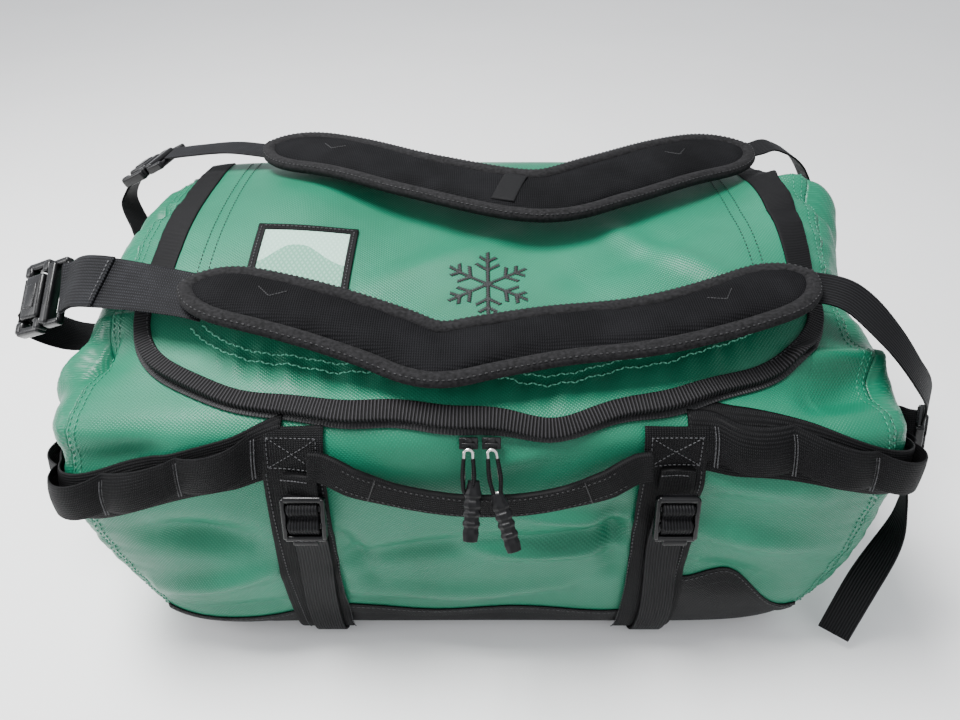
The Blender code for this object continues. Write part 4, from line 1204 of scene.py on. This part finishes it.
def make_handle(name, face, axis_z):
    """A haul handle: folded webbing that bows away between its two bands, sewn along its edges."""
    x = np.linspace(-HANDLE_HALF - 0.012, HANDLE_HALF + 0.012, 130)
    bow = np.clip(1 - (x / HANDLE_HALF) ** 2, -0.05, 1) * (1 + 0.9 * x)
    z = axis_z + face * (HANDLE_WIDTH / 2 + 0.001 + HANDLE_SAG * bow)
    w = np.array([girth_near(0.18 * face, level) for level in z])
    if face > 0:
        w = np.interp(np.arange(130), np.arange(0, 130, 6), w[::6])
    w = averaged(w, 6)
    normals = normal_at(x, w)
    lift = averaged(np.where(np.abs(x) > HANDLE_HALF - 0.006, 0.0042, HANDLE_LIFT), 5)
    centres = at_length(x, w) + normals * (lift + HANDLE / 2 + HANDLE_BOW * bow)[:, None]
    tangents = unit(np.gradient(centres, axis=0))
    across = unit(np.cross(normals, tangents))
    facing = np.cross(tangents, across)
    width = HANDLE_WIDTH * (1 + 0.22 * smoothstep(np.abs(x), 0.055, 0.085))
    obj = strap(f"{name}_webbing", centres, across, facing, width, HANDLE)
    dress(obj, "webbing", "webbing_black", name, name)
    top = centres + facing * HANDLE / 2
    rows = [line_row((top + across * edge)[12:-12], facing[12:-12], 0.0036)
            for edge in (0.0022 - HANDLE_WIDTH / 2, HANDLE_WIDTH / 2 - 0.0022)]
    for end in (24, -25):
        line = top[end] + across[end] * np.linspace(-0.009, 0.009, 20)[:, None]
        rows.append(line_row(line, np.broadcast_to(facing[end], line.shape), 0.0012))
    sew_on(f"{name}_stitches", rows, 0.0020, 0.0004, "thread", "webbing_black", name)


# --- The zip's sliders and pulls ---

W_ZIP = W_FRONT_EDGE - 0.006


def make_slider(name):
    """A zip slider's body, with the bridge that the wire hangs from."""
    normal = normal_at(np.array(0.0), np.array(W_ZIP))
    along = np.array([1.0, 0, 0])
    centre = np.mean(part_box(f"zip_slider_{name}"), axis=0)
    blocks = (
        ((0, 0, 0), (0.0125, 0.0080, 0.0022), 0.0009),
        ((0, 0, 0.0018), (0.0050, 0.0075, 0.0020), 0.0008),
        ((0, 0, -0.0018), (0.0110, 0.0070, 0.0014), 0.0006),
        ((0, 0, 0.0034), (0.0090, 0.0022, 0.0016), 0.0007),
    )
    casting = moulding(f"slider_casting_{name}", centre, (along, np.cross(normal, along), normal), blocks)
    dress(casting, "plastic", "plastic_black", f"slider_{name}", f"zip_slider_{name}")


def make_pull(name, side):
    """A wire loop, a doubled cord through it and a moulded grip below."""
    sideways = np.array([1.0, 0, 0])
    low, high = (np.array(c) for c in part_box(f"zip_wire_{name}"))
    out = np.array([0, -math.cos(PULL_TILT), math.sin(PULL_TILT)])
    down = unit(np.array([0.06 + side * 0.06, -math.sin(PULL_TILT), -math.cos(PULL_TILT)]))
    top = np.array([(low[0] + high[0]) / 2, high[1] - 0.0008, high[2] - 0.0008])
    long, half = 0.0285, 0.0029
    turns = np.linspace(0, math.pi, 12)[:, None]
    bend, spread = half * np.sin(turns), half * np.cos(turns) * sideways
    lower = top + down * (long - half + bend) + spread
    upper = top + down * (half - bend) - spread
    loop = resample(np.vstack([lower, upper, lower[:1]]), 90)[:-1]
    wire = rod(f"pull_wire_{name}", loop, 0.00105, loop=True)
    dress(wire, "steel", "steel", f"pull_{name}", f"zip_wire_{name}")

    grip_top = np.mean(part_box(f"zip_grip_{name}"), axis=0) + sideways * 0.0035
    grip_top -= down * (0, 1, 1) * GRIP_SIZE[2] / 2 + down * (0.009 if side < 0 else 0.001)
    cords = []
    for i, shift in enumerate((-0.0017, 0.0017)):
        route = [top + down * along + sideways * shift * wide + out * away
                 for along, wide, away in ((0.006, 1.8, 0.001), (0.018, 2.2, 0.0026), (0.028, 1.4, 0.0008))]
        cords.append(rod(f"cord_{i}", (*route, grip_top + down * 0.004 + sideways * shift), 0.0014, 24))
    dress(join(f"pull_cord_{name}", cords), "webbing", "webbing_black", f"pull_{name}")

    hanging = unit(down + sideways * (0.06 + side * 0.12))
    share = np.linspace(0, 1, 30)
    centres = grip_top + hanging * (share[:, None] * GRIP_SIZE[2])
    ringed = smoothstep(share, 0.15, 0.2) * smoothstep(-share, -0.85, -0.8)
    rings = 0.0009 * np.where(np.sin(share * 2 * math.pi * 6) > 0, 1, -1) * ringed
    width = 0.0078 + 0.0030 * smoothstep(share, 0.0, 0.25) - 0.0012 * smoothstep(share, 0.85, 1.0) + rings
    deep = 0.0058 + 0.0016 * np.sin(share * math.pi) + rings
    angles = np.linspace(0, 2 * math.pi, 9)[:-1] + math.pi / 8
    octagon = np.column_stack([np.cos(angles), np.sin(angles)]) * 1.06
    across, facing = (np.broadcast_to(v, centres.shape) for v in (unit(np.cross(out, hanging)), out))
    grip = strap(f"pull_grip_{name}", centres, across, facing, width, deep, octagon)
    grip.data.polygons.foreach_set("use_smooth", np.zeros(len(grip.data.polygons), bool))
    round_off = grip.modifiers.new("rounding", "BEVEL")
    round_off.width = 0.0006
    round_off.segments = 2
    dress(grip, "grip", "plastic_black", f"pull_{name}", f"zip_grip_{name}")


# --- Shoulder straps ---

FRONT_PAD = (
    (-0.206, -0.083, 0.297), (-0.170, -0.089, 0.295), (-0.118, -0.101, 0.289), (-0.068, -0.116, 0.281),
    (-0.031, -0.130, 0.276), (0.004, -0.123, 0.277), (0.05, -0.1135, 0.279), (0.106, -0.1095, 0.283),
    (0.146, -0.103, 0.288), (0.184, -0.091, 0.292), (0.236, -0.068, 0.296),
)
REAR_PAD = (
    (-0.192, 0.130, 0.307), (-0.12, 0.103, 0.310), (-0.045, 0.062, 0.311), (0.045, 0.028, 0.311),
    (0.105, 0.054, 0.311), (0.17, 0.093, 0.310), (0.242, 0.126, 0.307),
)
FRONT_LOCK_AT = np.array([0.338, -0.111, 0.182])
REAR_LOCK_AT = np.array([0.328, 0.112, 0.186])
FRONT_BUCKLE_AT = np.array([-0.340, -0.035, 0.257])
REAR_BUCKLE_AT = np.array([-0.306, 0.141, 0.286])


def pad_line(points, width, lean, curl):
    """The stations of a pad: centres, directions across it, normals and half-widths, rounded at both ends."""
    line = smooth_line(points, 90)
    tangents = unit(np.gradient(line, axis=0))
    run = np.concatenate([[0], np.cumsum(np.linalg.norm(np.diff(line, axis=0), axis=1))])
    up = unit(np.array([0, lean, 1.0]))
    across = unit(np.cross(up, tangents))
    normals = unit(np.cross(tangents, across))
    twist = (curl * np.sin(run / run[-1] * 2 * math.pi))[:, None]
    across, normals = unit(across + normals * twist), unit(normals - across * twist)
    nearest = np.minimum(run, run[-1] - run)
    round_end = width * 0.75
    taper = (1 - np.clip(1 - nearest / round_end, 0, 1) ** 2.1) ** (1 / 1.9)
    return line, across, normals, width / 2 * np.maximum(taper, 0.02)


def swell(obj, cap):
    """Remeshes a closed form and lets it fill out like stuffed fabric, by no more than cap."""
    remesh = obj.modifiers.new("remesh", "REMESH")
    remesh.mode = "VOXEL"
    remesh.voxel_size = 0.0042
    bake(obj)
    start = vertices(obj)
    cloth = obj.modifiers.new("swell", "CLOTH")
    cloth.settings.quality = 5
    cloth.settings.mass = 0.2
    cloth.settings.tension_stiffness = 20
    cloth.settings.compression_stiffness = 20
    cloth.settings.use_pressure = True
    cloth.settings.uniform_pressure_force = 4
    cloth.settings.effector_weights.gravity = 0
    cloth.point_cache.frame_end = 20
    for number in range(1, 21):
        bpy.context.scene.frame_set(number)
    bake(obj)
    moved = vertices(obj) - start
    far = np.linalg.norm(moved, axis=1, keepdims=True)
    held = start + moved * np.minimum(1, cap / np.maximum(far, 1e-9))
    obj.data.vertices.foreach_set("co", held.astype(np.float32).ravel())
    obj.data.update()
    bpy.context.scene.frame_set(1)


def bake(obj):
    """Applies the object's modifiers."""
    graph = bpy.context.evaluated_depsgraph_get()
    mesh = bpy.data.meshes.new_from_object(obj.evaluated_get(graph))
    obj.modifiers.clear()
    obj.data = mesh


def vertices(obj):
    flat = np.empty(3 * len(obj.data.vertices), np.float32)
    obj.data.vertices.foreach_get("co", flat)
    return flat.reshape(-1, 3).astype(float)


def above(form, spots, normal):
    """Spots moved along a normal onto the surface of a form."""
    points = vertices(form)
    lifted = []
    for spot in spots:
        offset = points - spot
        height = offset @ normal
        aside = np.linalg.norm(offset - height[:, None] * normal, axis=1)
        lifted.append(spot + normal * height[aside < 0.006].max())
    lifted = np.array(lifted)
    for _ in range(6):
        lifted[1:-1] = (lifted[:-2] + 2 * lifted[1:-1] + lifted[2:]) / 4
    return lifted


def make_pad(name, points, width, lean, curl, body, node):
    """A foam pad under spacer mesh, crowned across, with a brushed tape sewn round its edge."""
    line, across, normals, half = pad_line(points, width, lean, curl)
    angles = np.linspace(0, 2 * math.pi, 20, endpoint=False)
    profile = np.column_stack([np.cos(angles), np.sign(np.sin(angles)) * np.abs(np.sin(angles)) ** 0.7])
    thick = (PAD - 0.004) * (0.45 + 0.55 * half / half.max())
    form = strap(name, line, across, normals, 2 * half - 0.006, thick, profile)
    swell(form, 0.0024)
    smooth = form.modifiers.new("smooth", "SUBSURF")
    smooth.levels = smooth.render_levels = 1
    for face in form.data.polygons:
        face.use_smooth = True
    dress(form, "pad", "pad_black", body, node)

    rim_half = (half - PAD_BINDING * 0.55)[:, None]
    rim = np.vstack([line + across * rim_half, (line - across * rim_half)[::-1]])
    rim = resample(np.vstack([rim, rim[:1]]), 261)[:-1]
    facing = np.vstack([normals, normals[::-1]])
    facing = sample(facing, np.arange(len(facing)), np.linspace(0, len(facing), 260, endpoint=False))
    for _ in range(4):
        rim = (np.roll(rim, 1, 0) + 2 * rim + np.roll(rim, -1, 0)) / 4
    tangents = unit(np.roll(rim, -1, 0) - np.roll(rim, 1, 0))
    outward = unit(np.cross(tangents, facing))
    facing = unit(np.cross(outward, tangents))
    tape = strap(f"{name}_tape", rim, outward, facing, 2 * PAD_BINDING, PAD - 0.0025, ROUND_PROFILE, True)
    dress(tape, "pad_binding", "pad_black", body)
    seam = rim - outward * (PAD_BINDING - 0.0018) + facing * (PAD / 2 - 0.0026)
    rows = [line_row(seam, facing, 0.0040)]
    along = np.gradient(line, axis=0) / 0.004
    for end, lead in ((4, 1), (-5, -1)):
        normal = normals[end * 3]
        for slope in (-0.5, 0.5):
            out = unit(across[end] * 0.5 + slope * lead * along[end])
            tack = above(form, line[end * 3] + out * np.linspace(0, 0.014, 16)[:, None], normal)
            rows.append(line_row(tack, np.broadcast_to(normal, tack.shape), 0.0022))
    sew_on(f"{name}_stitches", rows, 0.0022, 0.00045, "thread", "pad_black", body)
    return form, line, across, normals


def make_buckle(name, centre, towards, across, width):
    """A side-release buckle. The result places a point in its axes: towards the pad, across and outwards."""
    towards, across = unit(np.asarray(towards, float)), unit(np.asarray(across, float))
    across = unit(across - towards * across.dot(towards))
    axes = (towards, across, np.cross(towards, across))
    socket = [
        ((-0.012, 0, 0.0008), (0.022, width * 0.62, 0.0100), 0.0034, 4),
        ((-0.012, 0, 0.0052), (0.012, width * 0.34, 0.0030), 0.0012, 3),
        ((-0.0275, 0, -0.0012), (0.0046, width * 0.86, 0.0052), 0.0020, 4),
    ]
    plug = [
        ((0.0070, 0, 0.0002), (0.0088, width * 0.86, 0.0094), 0.0030, 4),
        ((0.0215, 0, -0.0010), (0.0044, width * 0.86, 0.0050), 0.0019, 4),
    ]
    for side in (-width, width):
        socket += [
            ((-0.0245, side * 0.40, 0), (0.009, width * 0.18, 0.0090), 0.0034, 4),
            ((-0.0130, side * 0.46, -0.0004), (0.028, 0.0066, 0.0086), 0.0028, 4),
            ((-0.0010, side * 0.40, 0.0004), (0.008, width * 0.16, 0.0088), 0.0028, 4),
        ]
        plug.append(((0.0145, side * 0.42, -0.0004), (0.018, 0.0052, 0.0068), 0.0022, 4))
    for half, blocks in (("socket", socket), ("plug", plug)):
        piece = moulding(f"{name}_{half}_moulding", centre, axes, blocks)
        dress(piece, "plastic", "plastic_black", "bag", f"{name}_buckle_{half}")
    return lambda *spot: placed(centre, axes, spot)


def make_front_tail():
    """The front strap's loose end, hanging from its ladder-lock."""
    route = (FRONT_LOCK_AT + (0.000, -0.001, -0.0120), FRONT_LOCK_AT + (0.001, -0.004, -0.0270),
             (0.335, -0.136, 0.128), (0.329, -0.150, 0.104), (0.312, -0.167, 0.062), (0.298, -0.183, 0.014))
    tail, line, _ = twisted("front_tail_webbing", route, (-0.5, -0.85, 0), (0.75, -0.50, 0), 40,
                            STRAP_WIDTH, STRAP)
    dress(tail, "strap", "webbing_black", "bag", "front_strap_tail")


def bend(piece, look, strap_body, start, end, *nodes):
    """Dresses webbing that runs between the bag and a shoulder strap, on no body, and bakes its placement
    into its mesh. strap_body, start and end are not used.
    """
    dress(piece, look, "webbing_black", None, *nodes)
    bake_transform(piece)


def sewn_webbing(name, route, start_across, end_across, count, width, thickness, look, *nodes):
    """Webbing that stays on the bag, along a route."""
    piece, _, _ = twisted(name, route, start_across, end_across, count, width, thickness)
    dress(piece, look, "webbing_black", "bag", *nodes)


def lock_link(name, route):
    """The short webbing that holds a shoulder strap's ladder-lock to the bag's end."""
    sewn_webbing(name, route, (0, 0.3, 1), (0, 1, 0.2), 20, 0.024, 0.0022, "webbing")


def make_front_strap():
    """The strap over the lid's front: pad, buckle, doubled top webbing, lower webbing and ladder-lock."""
    make_pad("front_shoulder_pad", FRONT_PAD, FRONT_PAD_WIDTH, -0.03, 0.05, "front_strap", "front_pad")
    buckle = make_buckle("front", FRONT_BUCKLE_AT, (0.86, -0.25, 0.40), (0.15, 0.8, 0.62), 0.060)
    top_blend = ("front_strap", (-0.300, -0.05, 0.29), (-0.215, -0.08, 0.297))
    top, line, across = twisted(
        "front_top_strap",
        (buckle(0.0215, 0, 0.0020), buckle(0.030, 0, 0.0014), (-0.292, -0.057, 0.285),
         (-0.250, -0.074, 0.293), (-0.205, -0.084, 0.292), (-0.188, -0.087, 0.289)),
        (0.15, 0.8, 0.62), (0.2, 1, 0.2), 60, TOP_STRAP_WIDTH, 0.0018)
    bend(top, "top_webbing", *top_blend, "front_top_webbing")
    facing = unit(np.cross(unit(np.gradient(line, axis=0)), across))
    facing *= np.sign(facing[:, 2:])
    lifted = line + facing * 0.0022
    fold = strap("front_strap_fold", lifted[1:26], across[1:26], facing[1:26], TOP_STRAP_WIDTH, 0.0018)
    bend(fold, "top_webbing", *top_blend)
    edge = lifted[24] + facing[24] * 0.0012 + across[24] * np.linspace(-0.017, 0.017, 30)[:, None]
    row = line_row(edge, np.broadcast_to(facing[24], edge.shape), 0.0034)
    bend(stitch_mesh("front_fold_stitches", [row], 0.0026, 0.0006), "grey_thread", *top_blend)
    lower, _, _ = twisted(
        "front_lower_strap",
        ((0.218, -0.076, 0.290), (0.240, -0.074, 0.291), (0.262, -0.086, 0.290), (0.285, -0.109, 0.274),
         (0.307, -0.120, 0.250), (0.329, -0.113, 0.222), FRONT_LOCK_AT + (-0.001, 0.002, 0.0120)),
        (0.5, 1, 0.6), (0.5, 0.86, 0.1), 80, STRAP_WIDTH, STRAP)
    bend(lower, "strap", "front_strap", (0.325, -0.10, 0.23), (0.245, -0.07, 0.295), "front_lower_webbing")
    sewn_webbing(
        "front_anchor_strap",
        (buckle(-0.0285, 0, -0.002), (-0.366, -0.026, 0.226), (-0.345, -0.022, 0.208),
         (-0.322, -0.022, 0.206), (-0.306, -0.024, 0.210)),
        (0.0, 1, 0.2), (0, 1, 0), 40, 0.034, 0.0022, "webbing", "front_anchor_webbing")
    wrap = rod("front_buckle_wrap", [buckle(-0.0275, y, -0.0012) for y in (-0.018, 0, 0.018)], 0.0040, 16)
    dress(wrap, "webbing", "webbing_black", "bag")
    make_lock("front_strap_lock", FRONT_LOCK_AT, (0.50, 0.86, 0), (-0.20, 0.12, 0.97), (0.83, -0.48, 0.24),
              "bag", "front_strap_lock")
    lock_link("front_lock_link",
              ((0.3105, -0.098, 0.186), (0.322, -0.107, 0.190), FRONT_LOCK_AT + (-0.004, 0, 0.010)))


def make_rear_strap():
    """The strap over the lid's rear, with a plain patch sewn on its pad."""
    form, line, across, normals = make_pad("rear_shoulder_pad", REAR_PAD, REAR_PAD_WIDTH, -0.06, -0.06,
                                           "rear_strap", "rear_pad")
    buckle = make_buckle("rear", REAR_BUCKLE_AT, (0.85, -0.2, 0.45), (0.2, 1, 0.0), 0.046)
    top, _, _ = twisted(
        "rear_top_strap",
        (buckle(0.0215, 0, 0.0020), (-0.262, 0.134, 0.302), (-0.225, 0.131, 0.306), (-0.186, 0.128, 0.303)),
        (0.2, 1, 0.0), (0.3, 1, 0), 50, STRAP_WIDTH, 0.0018)
    bend(top, "top_webbing", "rear_strap", (-0.275, 0.135, 0.30), (-0.205, 0.13, 0.305), "rear_top_webbing")
    lower, _, _ = twisted(
        "rear_lower_strap",
        ((0.232, 0.124, 0.303), (0.250, 0.128, 0.306), (0.268, 0.130, 0.308), (0.296, 0.128, 0.290),
         (0.321, 0.118, 0.240), REAR_LOCK_AT + (0, 0, 0.0120)),
        (-0.3, 1, 0), (0, 1, 0), 80, STRAP_WIDTH, STRAP)
    bend(lower, "strap", "rear_strap", (0.318, 0.12, 0.24), (0.25, 0.13, 0.305), "rear_lower_webbing")
    sewn_webbing(
        "rear_anchor_strap",
        (buckle(-0.0285, 0, -0.002), (-0.343, 0.142, 0.248), (-0.332, 0.126, 0.226), (-0.3175, 0.108, 0.216),
         (-0.302, 0.100, 0.212)),
        (0.2, 1, 0.0), (0, 1, 0), 40, STRAP_WIDTH, 0.0022, "webbing", "rear_anchor_webbing")
    make_lock("rear_strap_lock", REAR_LOCK_AT, (0, 1, 0), (0, 0, 1), (1, 0, 0), "bag", "rear_strap_lock")
    lock_link("rear_lock_link",
              ((0.308, 0.106, 0.190), (0.316, 0.110, 0.196), REAR_LOCK_AT + (-0.004, 0, 0.010)))
    middle = len(line) // 2 - 1
    normal = normals[middle]
    spots = above(form, line[middle] + across[middle] * np.linspace(-0.022, 0.022, 24)[:, None], normal)
    along = unit(np.gradient(line, axis=0))[middle]
    along, facing = (np.broadcast_to(v, spots.shape) for v in (along, normal))
    patch = strap("rear_pad_patch", spots, along, facing, 0.019, 0.0016)
    dress(patch, "tape", "pad_black", "rear_strap")


def make_inside():
    """The foam in the bag's floor keeps its CAD shape."""
    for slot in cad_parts["base_pad"].material_slots:
        slot.material = LOOKS["foam"]


make_camera()
make_stage()
make_front_tail()
make_front_panel()
make_walls()
for side_name, side_sign in SIDES:
    make_end(side_name, side_sign)
make_shell_trim()
make_lid()
make_lid_trim()
make_zip_tapes()
make_window()
make_motif()
for side_name, side_sign in SIDES:
    make_compression("front", side_name, side_sign)
    make_compression("rear", side_name, side_sign)
    make_daisy(side_name, side_sign)
    make_slider(side_name)
    make_pull(side_name, side_sign)
make_handle("front_handle", -1, HANDLE_AXIS_Z)
make_handle("rear_handle", 1, REAR_HANDLE_AXIS_Z)
make_front_strap()
make_rear_strap()
make_inside()
